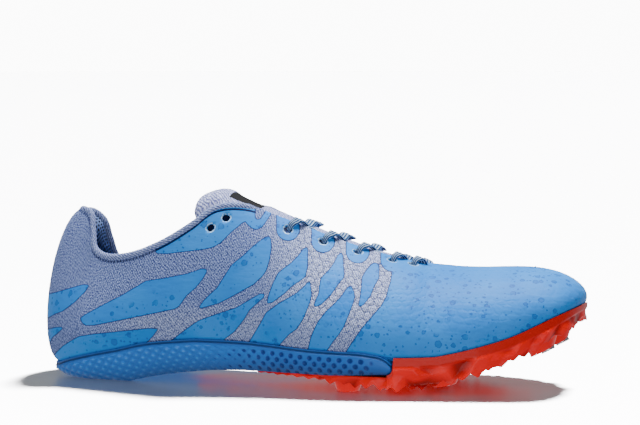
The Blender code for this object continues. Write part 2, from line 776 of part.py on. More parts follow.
def point_up(item):
    """Turn an open sheet over where it faces the floor."""
    mesh = item.data
    if sum(face.normal.z * face.area for face in mesh.polygons) < 0:
        mesh.flip_normals()


def build_collar_pad(material, group):
    """Make the padding that lines the heel and the ankle inside the collar."""
    rows = (0.50, 0.58, 0.68, 0.78, 0.87, 0.93, 0.965)
    swell = (0.25, 0.70, 1.00, 1.00, 0.85, 0.55, 0.25)
    reach = 5.5
    count = 22
    front = -(WALL + 2 * GAP)
    sections = []
    for i in range(count + 1):
        run = reach * (2 * i / count - 1)
        side = LATERAL if run < 0 else MEDIAL
        station = abs(run)
        fade = 1 - 0.8 * (station / reach) ** 3
        outer = [offset_point(station, side, rise, front) for rise in rows]
        inner = [offset_point(station, side, rise, front - PAD_THICKNESS * depth * fade)
                 for rise, depth in zip(rows, swell)]
        sections.append(outer + inner[::-1])
    bm = loft(sections)
    bmesh.ops.holes_fill(bm, edges=bm.edges)
    return finish_object("collar_pad", bm, material, group)


def build_lace_bars(material, group):
    """Make the flat bars of the lace, over the tongue from eyelet to eyelet."""
    lift = BAND_STEP + LACE_CLEARANCE + LACE_THICKNESS / 2
    half = LACE_WIDTH / LENGTH / 2
    for number, share in enumerate(LACED_EYELETS, start=1):
        strips = []
        for edge_share in (share - half, share + half):
            station = station_of_top(edge_share)
            sides = {}
            for side in (LATERAL, MEDIAL):
                low = rise_below_top(station, side, EYELET_INSET)
                sides[side] = [offset_point(station, side, rise, lift)
                               for rise in (low, (low + 1) / 2, 1.0)]
            crown = Vector((edge_share * LENGTH, rib_at(station).shift * WIDTH, 0.0))
            crown.z = max(tongue_crown(edge_share), rib_at(station).top_z * HEIGHT) + lift * 1.6
            left, right = sides[LATERAL], sides[MEDIAL]
            near = between((left[1], left[2], crown, right[2]))
            far = between((right[1], right[2], crown, left[2]))
            strips.append(left + [near, crown, far] + right[::-1])

        def place(row, column):
            return strips[column][row]

        bar = finish_object("lace_bar_%d" % number, sheet(9, 2, place), material, group)
        point_up(bar)
        thicken(bar, LACE_THICKNESS, 0.0)


def stand_on_origin(group):
    """Carry every piece on one empty, so that the middle of the shoe's box is over the origin."""
    bpy.context.view_layer.update()
    graph = bpy.context.evaluated_depsgraph_get()
    corners = []
    for item in group.objects:
        corners += [Vector(corner) for corner in item.evaluated_get(graph).bound_box]
    middle_x = (min(c.x for c in corners) + max(c.x for c in corners)) / 2
    middle_y = (min(c.y for c in corners) + max(c.y for c in corners)) / 2
    carrier = bpy.data.objects.new("shoe", None)
    for item in list(group.objects):
        item.parent = carrier
    group.objects.link(carrier)
    return carrier, Vector((-middle_x, -middle_y, 0.0))


def main():
    """Build the shoe."""
    clear_scene()
    group = make_collection("track_spike_shoe")
    cutters = make_collection("cutters")
    knit = make_material("knit_and_film", (0.30, 0.45, 0.75), 0.75)
    tongue_knit = make_material("tongue_knit", (0.38, 0.40, 0.62), 0.85)
    lining = make_material("lining_mesh", (0.03, 0.05, 0.12), 0.90)
    sock = make_material("insole_cloth", (0.05, 0.09, 0.20), 0.90)
    foam = make_material("blue_foam", (0.04, 0.22, 0.55), 0.55)
    orange = make_material("orange_plate", (0.80, 0.06, 0.03), 0.25)
    steel = make_material("steel", (0.60, 0.60, 0.62), 0.30, 1.0)
    cord = make_material("lace", (0.30, 0.50, 0.80), 0.80)
    build_upper(knit, group, cutters)
    build_foam(foam, group, cutters)
    build_plate(orange, group, cutters)
    build_sockets(steel, group)
    build_insole(sock, group)
    build_tongue(tongue_knit, group)
    build_collar_pad(lining, group)
    build_lace_bars(cord, group)
    carrier, place = stand_on_origin(group)
    carrier.location = place
    for item in cutters.objects:
        item.parent = carrier


main()
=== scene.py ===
"""Track spike shoe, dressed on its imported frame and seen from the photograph's side.

Every piece is built in metres from the middle of the heel at the floor, with x towards the toe and
y to the medial side, and is then moved onto the frame.
"""

import json
import logging
import math
from dataclasses import dataclass
from enum import Enum
from typing import Callable, Iterable, NamedTuple, Optional, Sequence, Union

import bmesh
import bpy
import numpy as np
from mathutils import Matrix, Vector

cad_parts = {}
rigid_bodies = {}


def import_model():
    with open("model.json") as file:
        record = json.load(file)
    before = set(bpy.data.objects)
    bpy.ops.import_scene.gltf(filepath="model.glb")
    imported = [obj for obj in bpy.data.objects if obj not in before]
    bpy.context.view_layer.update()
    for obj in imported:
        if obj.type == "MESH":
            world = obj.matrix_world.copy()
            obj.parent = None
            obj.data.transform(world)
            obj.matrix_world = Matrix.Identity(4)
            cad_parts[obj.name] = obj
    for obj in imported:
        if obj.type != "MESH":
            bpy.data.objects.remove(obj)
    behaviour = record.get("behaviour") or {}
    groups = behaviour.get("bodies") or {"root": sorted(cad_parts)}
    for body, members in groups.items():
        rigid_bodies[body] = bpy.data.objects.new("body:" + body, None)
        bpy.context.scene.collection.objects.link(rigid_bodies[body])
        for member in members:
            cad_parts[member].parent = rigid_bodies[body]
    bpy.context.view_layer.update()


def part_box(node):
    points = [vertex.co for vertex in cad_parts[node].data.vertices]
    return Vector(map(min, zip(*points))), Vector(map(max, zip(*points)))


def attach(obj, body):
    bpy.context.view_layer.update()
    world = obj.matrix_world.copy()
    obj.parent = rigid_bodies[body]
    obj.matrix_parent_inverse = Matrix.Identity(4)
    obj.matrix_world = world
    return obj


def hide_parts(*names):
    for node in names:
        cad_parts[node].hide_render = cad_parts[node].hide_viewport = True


LOG = logging.getLogger("track_spike_shoe")
BODY = "root"
MILLIMETRE = 0.001
MERGE_DISTANCE = 0.00002
SLIVER = 0.000005

HEX_SLANT = math.sqrt(0.75)
NO_PATCH = -9.0

Array = np.ndarray
Material = bpy.types.Material
Item = bpy.types.Object
Shape = bmesh.types.BMesh
Colour = tuple[float, float, float, float]
Pair = tuple[float, float]
Triple = tuple[float, float, float]
Outline = Sequence[Pair]
Socket = bpy.types.NodeSocket
Feed = Union[float, Sequence[float], Socket]


class Side(Enum):
    """The two sides of a right shoe, with the sign of their y."""

    LATERAL = -1
    MEDIAL = 1


class Slot(Enum):
    """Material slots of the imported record."""

    KNIT = "knit"
    TONGUE = "tongue_knit"
    LINING = "lining"
    INSOLE = "insole_cloth"
    FOAM = "foam"
    PLATE = "plate"
    STEEL = "steel"
    LACE = "lace"


def linear(level: int) -> float:
    """Undo the screen's curve for one channel, from 0 to 255."""
    share = level / 255
    return share / 12.92 if share <= 0.04045 else ((share + 0.055) / 1.055) ** 2.4


def tint(red: int, green: int, blue: int) -> Colour:
    """Turn a colour as seen on a screen into the linear light that a shader takes."""
    return linear(red), linear(green), linear(blue), 1.0


class Rib(NamedTuple):
    """One row of the last: along the feather line, along the top edge, then how the wall bends."""

    foot_x: float
    lateral: float
    medial: float
    top_x: float
    opening: float
    shift: float
    top_z: float
    tilt: float
    bow_lateral: float
    bow_medial: float
    bow_up: float
    over: float
    over_down: float


RIBS = tuple(Rib(*row) for row in (
    (0.018, 0.0, 0.0, 0.062, 0.0, 0.0, 0.852, 0.0, 0.16, 0.16, 0.06, 0.16, 0.01),
    (0.022, 0.09, 0.09, 0.073, 0.07, 0.0, 0.858, 0.02, 0.14, 0.14, 0.07, 0.14, 0.03),
    (0.037, 0.185, 0.178, 0.092, 0.1, 0.0, 0.816, 0.044, 0.12, 0.12, 0.09, 0.11, 0.09),
    (0.064, 0.255, 0.245, 0.098, 0.137, 0.0, 0.722, 0.064, 0.09, 0.09, 0.13, 0.08, 0.16),
    (0.099, 0.3, 0.288, 0.106, 0.18, 0.0, 0.63, 0.078, 0.06, 0.06, 0.13, 0.05, 0.16),
    (0.142, 0.325, 0.305, 0.14, 0.232, 0.0, 0.602, 0.064, 0.05, 0.06, 0.12, 0.04, 0.15),
    (0.195, 0.338, 0.3, 0.194, 0.275, 0.0, 0.634, 0.042, 0.05, 0.07, 0.12, 0.03, 0.15),
    (0.255, 0.345, 0.285, 0.252, 0.285, 0.0, 0.705, 0.034, 0.05, 0.09, 0.12, 0.04, 0.17),
    (0.312, 0.355, 0.275, 0.305, 0.275, 0.0, 0.796, 0.034, 0.05, 0.1, 0.13, 0.05, 0.18),
    (0.362, 0.365, 0.27, 0.348, 0.245, 0.0, 0.882, 0.036, 0.05, 0.11, 0.14, 0.08, 0.16),
    (0.411, 0.38, 0.275, 0.401, 0.2, 0.0, 0.885, 0.04, 0.05, 0.11, 0.15, 0.12, 0.12),
    (0.468, 0.415, 0.295, 0.465, 0.18, 0.0, 0.822, 0.042, 0.05, 0.1, 0.16, 0.16, 0.08),
    (0.532, 0.468, 0.34, 0.528, 0.16, 0.0, 0.756, 0.042, 0.05, 0.08, 0.17, 0.18, 0.06),
    (0.596, 0.512, 0.39, 0.589, 0.14, 0.002, 0.694, 0.042, 0.05, 0.07, 0.18, 0.2, 0.05),
    (0.645, 0.52, 0.42, 0.638, 0.122, 0.004, 0.653, 0.04, 0.05, 0.06, 0.18, 0.22, 0.04),
    (0.688, 0.508, 0.435, 0.677, 0.1, 0.007, 0.626, 0.034, 0.05, 0.06, 0.18, 0.24, 0.03),
    (0.727, 0.49, 0.442, 0.706, 0.065, 0.01, 0.614, 0.02, 0.05, 0.06, 0.18, 0.26, 0.02),
    (0.759, 0.47, 0.443, 0.722, 0.0, 0.013, 0.611, 0.0, 0.05, 0.05, 0.18, 0.29, 0.01),
    (0.816, 0.425, 0.435, 0.77, 0.0, 0.02, 0.6, 0.0, 0.05, 0.05, 0.18, 0.26, 0.0),
    (0.869, 0.372, 0.414, 0.812, 0.0, 0.028, 0.599, 0.0, 0.05, 0.05, 0.17, 0.23, 0.0),
    (0.915, 0.315, 0.38, 0.848, 0.0, 0.036, 0.603, 0.0, 0.05, 0.05, 0.15, 0.2, 0.0),
    (0.95, 0.262, 0.335, 0.874, 0.0, 0.042, 0.605, 0.0, 0.04, 0.04, 0.13, 0.17, 0.0),
    (0.977, 0.19, 0.258, 0.892, 0.0, 0.048, 0.604, 0.0, 0.04, 0.04, 0.11, 0.15, 0.0),
    (0.991, 0.09, 0.165, 0.902, 0.0, 0.052, 0.602, 0.0, 0.04, 0.04, 0.09, 0.14, 0.0),
    (0.996, -0.04, 0.04, 0.908, 0.0, 0.05, 0.601, 0.0, 0.04, 0.04, 0.09, 0.14, 0.0),
))

# Side view of the sole, as x of the length and z of the height: its top, then its underside
FEATHER = (
    (0.0, 0.055), (0.039, 0.069), (0.061, 0.09), (0.089, 0.113), (0.127, 0.139),
    (0.167, 0.163), (0.225, 0.202), (0.277, 0.219), (0.331, 0.23), (0.404, 0.229),
    (0.477, 0.22), (0.551, 0.21), (0.63, 0.208), (0.67, 0.196), (0.7, 0.186),
    (0.763, 0.191), (0.798, 0.208), (0.83, 0.23), (0.866, 0.259), (0.898, 0.291),
    (0.94, 0.348), (0.964, 0.382), (0.988, 0.413), (1.0, 0.428),
)
UNDERSIDE = (
    (0.0, 0.045), (0.018, 0.037), (0.032, 0.024), (0.057, 0.008), (0.082, 0.0),
    (0.19, 0.0), (0.209, 0.012), (0.238, 0.03), (0.273, 0.047), (0.312, 0.062),
    (0.365, 0.076), (0.429, 0.081), (0.514, 0.084), (0.592, 0.086), (0.667, 0.086),
    (0.709, 0.082), (0.745, 0.09), (0.784, 0.108), (0.826, 0.136), (0.872, 0.182),
    (0.904, 0.222), (0.947, 0.284), (0.979, 0.343), (1.0, 0.39),
)

# Tail of the plate under the foam: x of the length, then its edges of the width
TAIL_LATERAL = (
    (0.287, 0.03), (0.29, 0.09), (0.3, 0.14), (0.326, 0.2), (0.362, 0.24), (0.401, 0.275),
    (0.443, 0.33), (0.496, 0.395), (0.55, 0.445), (0.603, 0.488), (0.645, 0.495), (0.7, 0.495),
)
TAIL_MEDIAL = (
    (0.287, -0.03), (0.29, 0.01), (0.3, 0.05), (0.326, 0.076), (0.362, 0.09), (0.401, 0.11),
    (0.443, 0.15), (0.496, 0.225), (0.55, 0.31), (0.603, 0.365), (0.645, 0.39), (0.7, 0.41),
)

# Crown of the tongue: x of the length, z of the height, then the half width or the tuck of the width
TONGUE = (
    (0.33, 0.845, 0.15), (0.312, 0.842, 0.15), (0.295, 0.855, 0.148), (0.286, 0.885, 0.152),
    (0.294, 0.935, 0.17), (0.314, 0.963, 0.185), (0.334, 0.975, 0.195), (0.352, 0.962, 0.2),
    (0.374, 0.932, 0.015), (0.4, 0.9, 0.045), (0.437, 0.864, 0.08),
    (0.496, 0.799, 0.12), (0.554, 0.739, 0.12), (0.616, 0.682, 0.12), (0.66, 0.645, 0.12),
    (0.69, 0.612, 0.12), (0.712, 0.582, 0.12),
)
# So many of its rows, from the curled tip on, stand free of the throat
TONGUE_FREE_ROWS = 8

# How tall the teeth are along the length
TEETH = (
    (0.28, 0.1), (0.4, 0.22), (0.52, 0.55), (0.62, 1.05), (0.69, 1.35), (0.8, 1.3),
    (0.86, 1.05), (0.93, 1.0), (1.0, 0.85),
)

# Spike sockets and open hexagons of the tread: x of the length, y of the width, and a hexagon's size
SOCKETS = (
    (0.606, -0.385), (0.704, 0.333), (0.663, 0.005), (0.773, -0.293),
    (0.809, 0.315), (0.93, -0.075), (0.934, 0.235),
)
# So many of the sockets reach the floor
STANDING_SOCKETS = 3
# The frame is found from this socket, under the ball
ANCHOR_SOCKET = 3
POCKETS = (
    (0.87, 0.08, 0.2), (0.8, -0.06, 0.2), (0.8, 0.14, 0.18), (0.735, 0.06, 0.19),
    (0.735, -0.15, 0.18), (0.655, 0.17, 0.15), (0.6, -0.15, 0.18), (0.6, 0.07, 0.19),
    (0.47, -0.06, 0.13), (0.43, -0.18, 0.12), (0.385, -0.06, 0.13), (0.345, -0.15, 0.12),
)

# Eyelets by the share of the length of the top edge beside them
PLAIN_EYELETS = (0.341, 0.368)
LACED_EYELETS = (0.484, 0.547, 0.606, 0.663, 0.697)


def read_table(table: Sequence[Sequence[float]], share: Array) -> Array:
    """Read the second column of a table on a curve that never overshoots its rows.

    Args:
        table: Rows with a rising first column.
        share: Where to read it, in terms of the first column.

    Returns:
        The values there, held at the table's ends.
    """
    rows = np.array([row[:2] for row in table])
    x, y = rows.T
    steps = np.diff(x)
    slopes = np.diff(y) / steps
    product = slopes[:-1] * slopes[1:]
    total = np.where(product > 0, slopes[:-1] + slopes[1:], 1.0)
    inner = np.where(product > 0, 2 * product / total, 0.0)
    tangent = np.concatenate(([slopes[0]], inner, [slopes[-1]]))
    share = np.clip(share, x[0], x[-1])
    index = np.clip(np.searchsorted(x, share, side="right") - 1, 0, len(x) - 2)
    part = (share - x[index]) / steps[index]
    first = tangent[index] * steps[index]
    last = tangent[index + 1] * steps[index]
    rise = y[index + 1] - y[index]
    bend = 3 * rise - 2 * first - last + part * (first + last - 2 * rise)
    return y[index] + part * (first + part * bend)


def mirrored(rib: Rib) -> Rib:
    """Give the same station as seen across the middle of the heel or the toe."""
    return rib._replace(lateral=-rib.medial, medial=-rib.lateral, opening=-rib.opening, tilt=-rib.tilt)


def unit(vectors: Array) -> Array:
    """Scale vectors to a length of one."""
    return vectors / np.maximum(np.linalg.norm(vectors, axis=-1, keepdims=True), 1e-12)


def level_points(x: Array, y: Array) -> Array:
    """Put x and y together as points, or directions, with a height of 0."""
    return np.stack([x, y, np.zeros_like(x)], axis=-1)


def lengths_along(path: Array) -> Array:
    """Measure how far along a path each of its points lies."""
    return np.concatenate([[0.0], np.linalg.norm(np.diff(path, axis=0), axis=1).cumsum()])


def ramp(value: Array, start: float, run: float) -> Array:
    """Rise from 0 at start to 1 where value is run past it, or short of it where run is negative."""
    return np.clip((value - start) / run, 0, 1)


def smooth_curve(rows: Array, whole: Array, part: Array) -> Array:
    """Read a smooth curve that runs through rows.

    Args:
        rows: The rows, with one more before the first and one more after the last.
        whole: Numbers of the rows that the wanted points follow.
        part: How far past those rows the points lie, from 0 to 1.

    Returns:
        The values there.
    """
    before, start, end, after = (rows[whole + i] for i in range(4))
    slope_start, slope_end, rise = (end - before) / 2, (after - start) / 2, end - start
    curve = 3 * rise - 2 * slope_start - slope_end
    twist = slope_start + slope_end - 2 * rise
    return start + part * (slope_start + part * (curve + part * twist))


@dataclass(frozen=True)
class Last:
    """The form that the upper and the sole are drawn on."""

    length: float = 0.2785
    width: float = 0.1
    height: float = 0.098
    wall: float = 0.002
    gap: float = 0.0003
    throat_end: float = 17.0
    toe: float = float(len(RIBS) - 1)

    def ribs(self, station: Array) -> Rib:
        """Read the rows of the last at any stations from the heel, 0, to the toe.

        Args:
            station: Stations along one side.

        Returns:
            A row whose fields are arrays.
        """
        rows = np.array([mirrored(RIBS[1]), *RIBS, mirrored(RIBS[-2])])
        whole = np.clip(np.floor(station), 0, self.toe - 1).astype(int)
        rib = Rib(*smooth_curve(rows, whole, (station - whole)[:, None]).T)
        joined = station >= self.throat_end
        return rib._replace(opening=np.where(joined, 0.0, rib.opening),
                            tilt=np.where(joined, 0.0, rib.tilt))

    def feather(self, x: Array) -> Array:
        """Height of the top of the sole at x."""
        return self.height * read_table(FEATHER, x / self.length)

    def underside(self, x: Array) -> Array:
        """Height of the bottom of the foam and the plate at x."""
        return self.height * read_table(UNDERSIDE, x / self.length)

    def outline(self, station: Array, side: Side) -> tuple[Array, Array]:
        """Give the plan of the feather line.

        Args:
            station: Stations along one side.
            side: Which side.

        Returns:
            The points, at z 0, and the outward directions there.
        """
        step = 0.01
        low = self.ribs(np.maximum(station - step, 0.0))
        high = self.ribs(np.minimum(station + step, self.toe))
        here = self.ribs(station)
        if side is Side.LATERAL:
            half, spread = here.lateral, high.lateral - low.lateral
        else:
            half, spread = here.medial, high.medial - low.medial
        run = (high.foot_x - low.foot_x) * self.length
        outward = level_points(-spread * self.width, side.value * run)
        outward[station <= 0] = (-1.0, 0.0, 0.0)
        outward[station >= self.toe] = (1.0, 0.0, 0.0)
        points = level_points(here.foot_x * self.length, side.value * half * self.width)
        return points, unit(outward)

    def sole_edge(self, station: Array, side: Side, outset: Array) -> Array:
        """Give the plan of the sole's outline, moved outwards by outset."""
        points, outward = self.outline(station, side)
        return points + outward * np.broadcast_to(outset, station.shape)[:, None]

    def wall_points(self, station: Array, side: Side, rise: Array) -> Array:
        """Give points of the outer surface of the upper.

        Args:
            station: Stations along one side.
            side: Which side.
            rise: From 0 at the sole to 1 at the top edge, n by m, and below 0 straight down.

        Returns:
            Points, n by m by 3.
        """
        rib = self.ribs(station)
        foot, outward = self.outline(station, side)
        foot[:, 2] = self.feather(foot[:, 0]) + self.gap
        bow = rib.bow_lateral if side is Side.LATERAL else rib.bow_medial
        across = (side.value * rib.opening + rib.shift) * self.width
        level = (rib.top_z - side.value * rib.tilt / 2) * self.height
        top = np.stack([rib.top_x * self.length, across, level], axis=-1)
        up = np.array([0.0, 0.0, 1.0])
        low = foot + outward * (bow * self.width)[:, None] + up * (rib.bow_up * self.height)[:, None]
        high = top + outward * (rib.over * self.width)[:, None] - up * (rib.over_down * self.height)[:, None]
        r = np.maximum(rise, 0.0)[..., None]
        q = 1 - r
        a, b, c, d = (corner[:, None, :] for corner in (foot, low, high, top))
        points = a * q ** 3 + b * (3 * q * q * r) + c * (3 * q * r * r) + d * r ** 3
        return points + up * np.minimum(rise, 0.0)[..., None] * self.height

    def rise_at(self, station: Array, side: Side, distance: Array) -> Array:
        """Find how far up the wall the points lie that are given distances below the top edge.

        Args:
            station: Stations along one side.
            side: Which side.
            distance: Lengths along the wall, n by m.

        Returns:
            Rises, n by m.
        """
        samples = np.linspace(1.0, 0.0, 121)
        path = self.wall_points(station, side, np.broadcast_to(samples, (len(station), 121)))
        travelled = np.linalg.norm(np.diff(path, axis=1), axis=2).cumsum(axis=1)
        travelled = np.concatenate([np.zeros((len(station), 1)), travelled], axis=1)
        distance = np.broadcast_to(distance, (len(station), np.shape(distance)[-1]))
        return np.array([np.interp(want, have, samples) for want, have in zip(distance, travelled)])

    def wall_length(self, station: Array, side: Side) -> Array:
        """Measure the wall from the sole to the top edge at each station."""
        path = self.wall_points(station, side, np.broadcast_to(np.linspace(0, 1, 61), (len(station), 61)))
        return np.linalg.norm(np.diff(path, axis=1), axis=2).sum(axis=1)

    def offset(self, station: Array, side: Side, rise: Array, outset: Array) -> Array:
        """Give points at distances outside the outer surface, or inside it where negative.

        Args:
            station: Stations along one side.
            side: Which side.
            rise: Rises, n by m.
            outset: Distances, n by m or one for all.

        Returns:
            Points, n by m by 3.
        """
        step = 0.02
        along = (self.wall_points(np.minimum(station + step, self.toe), side, rise)
                 - self.wall_points(np.maximum(station - step, 0.0), side, rise))
        up = (self.wall_points(station, side, np.minimum(rise + step, 1.0))
              - self.wall_points(station, side, rise - step))
        normal = unit(np.cross(along, up)) * (1 if side is Side.LATERAL else -1)
        outset = np.broadcast_to(outset, rise.shape)
        return self.wall_points(station, side, rise) + normal * outset[..., None]

    def station_of_top(self, share: float) -> float:
        """Find the station whose top edge lies at a share of the length, ahead of the ankle."""
        stations = np.linspace(4.0, self.toe, 4001)
        return float(np.interp(share, self.ribs(stations).top_x, stations))

    def station_of_foot(self, x: float) -> float:
        """Find the station whose feather line lies at x."""
        stations = np.linspace(0.0, self.toe, 4801)
        return float(np.interp(x / self.length, self.ribs(stations).foot_x, stations))

    def even_stations(self, start: float, end: float, pitch: float, rise: float) -> Array:
        """List stations that lie evenly along the wall.

        Args:
            start: First station.
            end: Last station.
            pitch: Wanted distance between them.
            rise: How far up the wall they are measured.

        Returns:
            The stations, start and end included.
        """
        fine = np.linspace(start, end, 2401)
        path = self.wall_points(fine, Side.LATERAL, np.full((len(fine), 1), rise))[:, 0]
        travelled = lengths_along(path)
        count = max(int(math.ceil(travelled[-1] / pitch)), 1)
        return np.interp(np.linspace(0, travelled[-1], count + 1), travelled, fine)


@dataclass(frozen=True)
class PhotoView:
    """The camera that took the photograph, and the way from the shoe to a point of the picture."""

    centre: Triple = (0.141, 0.0, 0.045)
    aim: Triple = (0.1435, 0.0, 0.08425)
    azimuth: float = 16.0
    elevation: float = 5.5
    distance: float = 1.4
    focal: float = 2777.0
    picture: tuple[int, int] = (640, 425)
    sensor: float = 36.0
    clip: Pair = (0.05, 50.0)

    def axes(self) -> tuple[Array, Array, Array, Array]:
        """Give the camera's place and its right, up and forward directions.

        Returns:
            The place and the three directions.
        """
        turn, tip = math.radians(self.azimuth), math.radians(self.elevation)
        back = np.array([math.sin(turn) * math.cos(tip), -math.cos(turn) * math.cos(tip), math.sin(tip)])
        place = np.array(self.centre) + back * self.distance
        forward = unit(np.array(self.aim) - place)
        right = unit(np.cross(forward, [0.0, 0.0, 1.0]))
        return place, right, np.cross(right, forward), forward

    def project(self, points: Array) -> Array:
        """Give the picture points, in pixels from the top left, of points of the shoe.

        Args:
            points: Points of the shoe, n by 3.

        Returns:
            Picture points, n by 2.
        """
        place, right, up, forward = self.axes()
        offset = points - place
        depth = offset @ forward
        across = self.picture[0] / 2 + self.focal * (offset @ right) / depth
        down = self.picture[1] / 2 - self.focal * (offset @ up) / depth
        return np.stack([across, down], axis=-1)

    def place(self, origin: Vector) -> None:
        """Set up the scene's camera.

        Args:
            origin: Where the heel's middle lies in the frame.
        """
        place, right, up, forward = self.axes()
        lens = bpy.data.cameras.new("photo_camera")
        lens.sensor_width = self.sensor
        lens.lens = self.focal / self.picture[0] * self.sensor
        lens.clip_start, lens.clip_end = self.clip
        camera = bpy.data.objects.new("photo_camera", lens)
        bpy.context.scene.collection.objects.link(camera)
        turn = Matrix((right, up, -forward)).transposed()
        camera.matrix_world = Matrix.Translation(Vector(place) + origin) @ turn.to_4x4()
        bpy.context.scene.camera = camera


class Paint:
    """The nodes of one material, with short calls for what the finishes share."""

    def __init__(self, name: str) -> None:
        """Start a Principled material.

        Args:
            name: The material's name.
        """
        self.material = bpy.data.materials.new(name)
        self.material.use_nodes = True
        self.tree = self.material.node_tree
        self.shader = self.tree.nodes["Principled BSDF"]

    def feed(self, socket: Socket, value: Feed) -> None:
        """Link a socket, or set its own value.

        Args:
            socket: The socket.
            value: A link's source, or a value.
        """
        if isinstance(value, Socket):
            self.tree.links.new(value, socket)
        else:
            socket.default_value = value

    def node(self, kind: str, inputs: dict, **settings) -> bpy.types.Node:
        """Add a node.

        Args:
            kind: Its type, without the word ShaderNode.
            inputs: Values or sockets by input name or number.
            settings: Its own properties.

        Returns:
            The node.
        """
        node = self.tree.nodes.new("ShaderNode" + kind)
        for name, value in settings.items():
            setattr(node, name, value)
        for name, value in inputs.items():
            self.feed(node.inputs[name], value)
        return node

    def math(self, operation: str, *values: Feed, clamp: bool = False) -> Socket:
        """Add a Math node and give its result."""
        return self.node("Math", dict(enumerate(values)), operation=operation, use_clamp=clamp).outputs[0]

    def times(self, first: Feed, second: Feed) -> Socket:
        """Multiply two numbers."""
        return self.math("MULTIPLY", first, second)

    def scaled(self, value: Feed, factor: Feed, shift: Feed, clamp: bool = False) -> Socket:
        """Multiply a number and then add to it."""
        return self.math("MULTIPLY_ADD", value, factor, shift, clamp=clamp)

    def vector(self, operation: str, *values: Feed) -> Socket:
        """Add a Vector Math node and give its vector."""
        return self.node("VectorMath", dict(enumerate(values)), operation=operation).outputs["Vector"]

    def length(self, value: Socket) -> Socket:
        """Measure a vector."""
        return self.node("VectorMath", {0: value}, operation="LENGTH").outputs["Value"]

    def mix(self, share: Feed, first: Feed, second: Feed) -> Socket:
        """Mix two colours."""
        node = self.node("Mix", {0: share, 6: first, 7: second}, data_type="RGBA")
        return node.outputs[2]

    def step(self, value: Feed, low: float, high: float) -> Socket:
        """Rise softly from 0 at low to 1 at high, or fall where low is the larger.

        Args:
            value: A number.
            low: Where it starts.
            high: Where it ends.

        Returns:
            The number after the step.
        """
        flipped = low > high
        ends = {1: min(low, high), 2: max(low, high), 3: float(flipped), 4: float(not flipped)}
        return self.node("MapRange", {0: value, **ends}, interpolation_type="SMOOTHSTEP").outputs[0]

    def attribute(self, name: str) -> Socket:
        """Read a number that the mesh carries."""
        return self.node("Attribute", {}, attribute_name=name).outputs["Fac"]

    def surface(self) -> Socket:
        """Read the mesh's own UV map, in millimetres."""
        uv = self.node("UVMap", {}, uv_map="surface").outputs["UV"]
        return self.vector("MULTIPLY", uv, (1000.0, 1000.0, 1000.0))

    def solid(self) -> Socket:
        """Read the place in the shoe, in millimetres."""
        place = self.node("TexCoord", {}).outputs["Object"]
        return self.vector("MULTIPLY", place, (1000.0, 1000.0, 1000.0))

    def noise(self, at: Socket, size: float, detail: float = 2.0) -> Socket:
        """Add a noise whose lumps are size millimetres across."""
        inputs = {"Vector": at, "Scale": 1.0 / size, "Detail": detail}
        return self.node("TexNoise", inputs).outputs["Fac"]

    def cells(self, at: Socket, size: float, loose: float = 1.0) -> bpy.types.Node:
        """Add a field of cells that are size millimetres across."""
        inputs = {"Vector": at, "Scale": 1.0 / size, "Randomness": loose}
        return self.node("TexVoronoi", inputs)

    def ripple(self, at: Socket, pitch: float, angle: float, stray: Feed = 0.0) -> Socket:
        """Add even lines across a surface.

        Args:
            at: Place on the surface, in millimetres.
            pitch: Distance between lines in millimetres.
            angle: Direction across the lines, in degrees.
            stray: Added to the place across the lines.

        Returns:
            From 0 between the lines to 1 on them.
        """
        turn = math.radians(angle)
        across = self.node("VectorMath", {0: at, 1: (math.cos(turn), math.sin(turn), 0.0)},
                           operation="DOT_PRODUCT").outputs["Value"]
        phase = self.times(self.math("ADD", across, stray), math.tau / pitch)
        return self.scaled(self.math("SINE", phase), 0.5, 0.5)

    def honeycomb(self, at: Socket, pitch: float) -> tuple[Socket, Socket]:
        """Lay a field of even hexagons over a surface.

        Args:
            at: Place on the surface, in millimetres.
            pitch: Distance between middles in millimetres.

        Returns:
            The distance to the nearest middle and to the nearest side, in millimetres.
        """
        size = (pitch, pitch * math.sqrt(3), 1.0)
        flat = self.vector("MULTIPLY", at, (1.0, 1.0, 0.0))
        near = []
        for shift in (0.0, 0.5):
            cell = self.vector("ADD", self.vector("DIVIDE", flat, size), (shift, shift, 0.0))
            centred = self.vector("SUBTRACT", self.vector("FRACTION", cell), (0.5, 0.5, 0.0))
            near.append(self.vector("MULTIPLY", self.vector("MULTIPLY", centred, (1.0, 1.0, 0.0)), size))
        first, second = (self.length(offset) for offset in near)
        pick = self.math("LESS_THAN", second, first)
        offset = self.node("Mix", {0: pick, 4: near[0], 5: near[1]}, data_type="VECTOR").outputs[1]
        folded = self.vector("ABSOLUTE", offset)
        slant = self.node("VectorMath", {0: folded, 1: (0.5, HEX_SLANT, 0.0)},
                          operation="DOT_PRODUCT").outputs["Value"]
        straight = self.node("SeparateXYZ", {0: folded}).outputs["X"]
        reach = self.math("MAXIMUM", straight, slant)
        return self.math("MINIMUM", first, second), self.math("SUBTRACT", pitch / 2, reach)

    def bump(self, height: Socket, depth: float, over: Optional[Socket] = None) -> Socket:
        """Raise the surface by a height from 0 to 1 times depth in millimetres.

        Args:
            height: From 0 to 1.
            depth: How deep, in millimetres.
            over: Surface direction that it adds to.

        Returns:
            The surface direction.
        """
        inputs = {"Height": height, "Distance": depth * MILLIMETRE, "Strength": 1.0}
        if over is not None:
            inputs["Normal"] = over
        return self.node("Bump", inputs).outputs["Normal"]

    def finish(self, colour: Feed, roughness: Feed, normal: Optional[Socket] = None,
               **own: Feed) -> Material:
        """Feed the shader.

        Args:
            colour: Base colour.
            roughness: Roughness.
            normal: Surface direction after bumps.
            own: Even values of other sockets, with underscores for spaces.

        Returns:
            The material.
        """
        self.feed(self.shader.inputs["Base Color"], colour)
        self.feed(self.shader.inputs["Roughness"], roughness)
        if normal is not None:
            self.feed(self.shader.inputs["Normal"], normal)
        for name, value in own.items():
            self.shader.inputs[name.replace("_", " ")].default_value = value
        return self.material


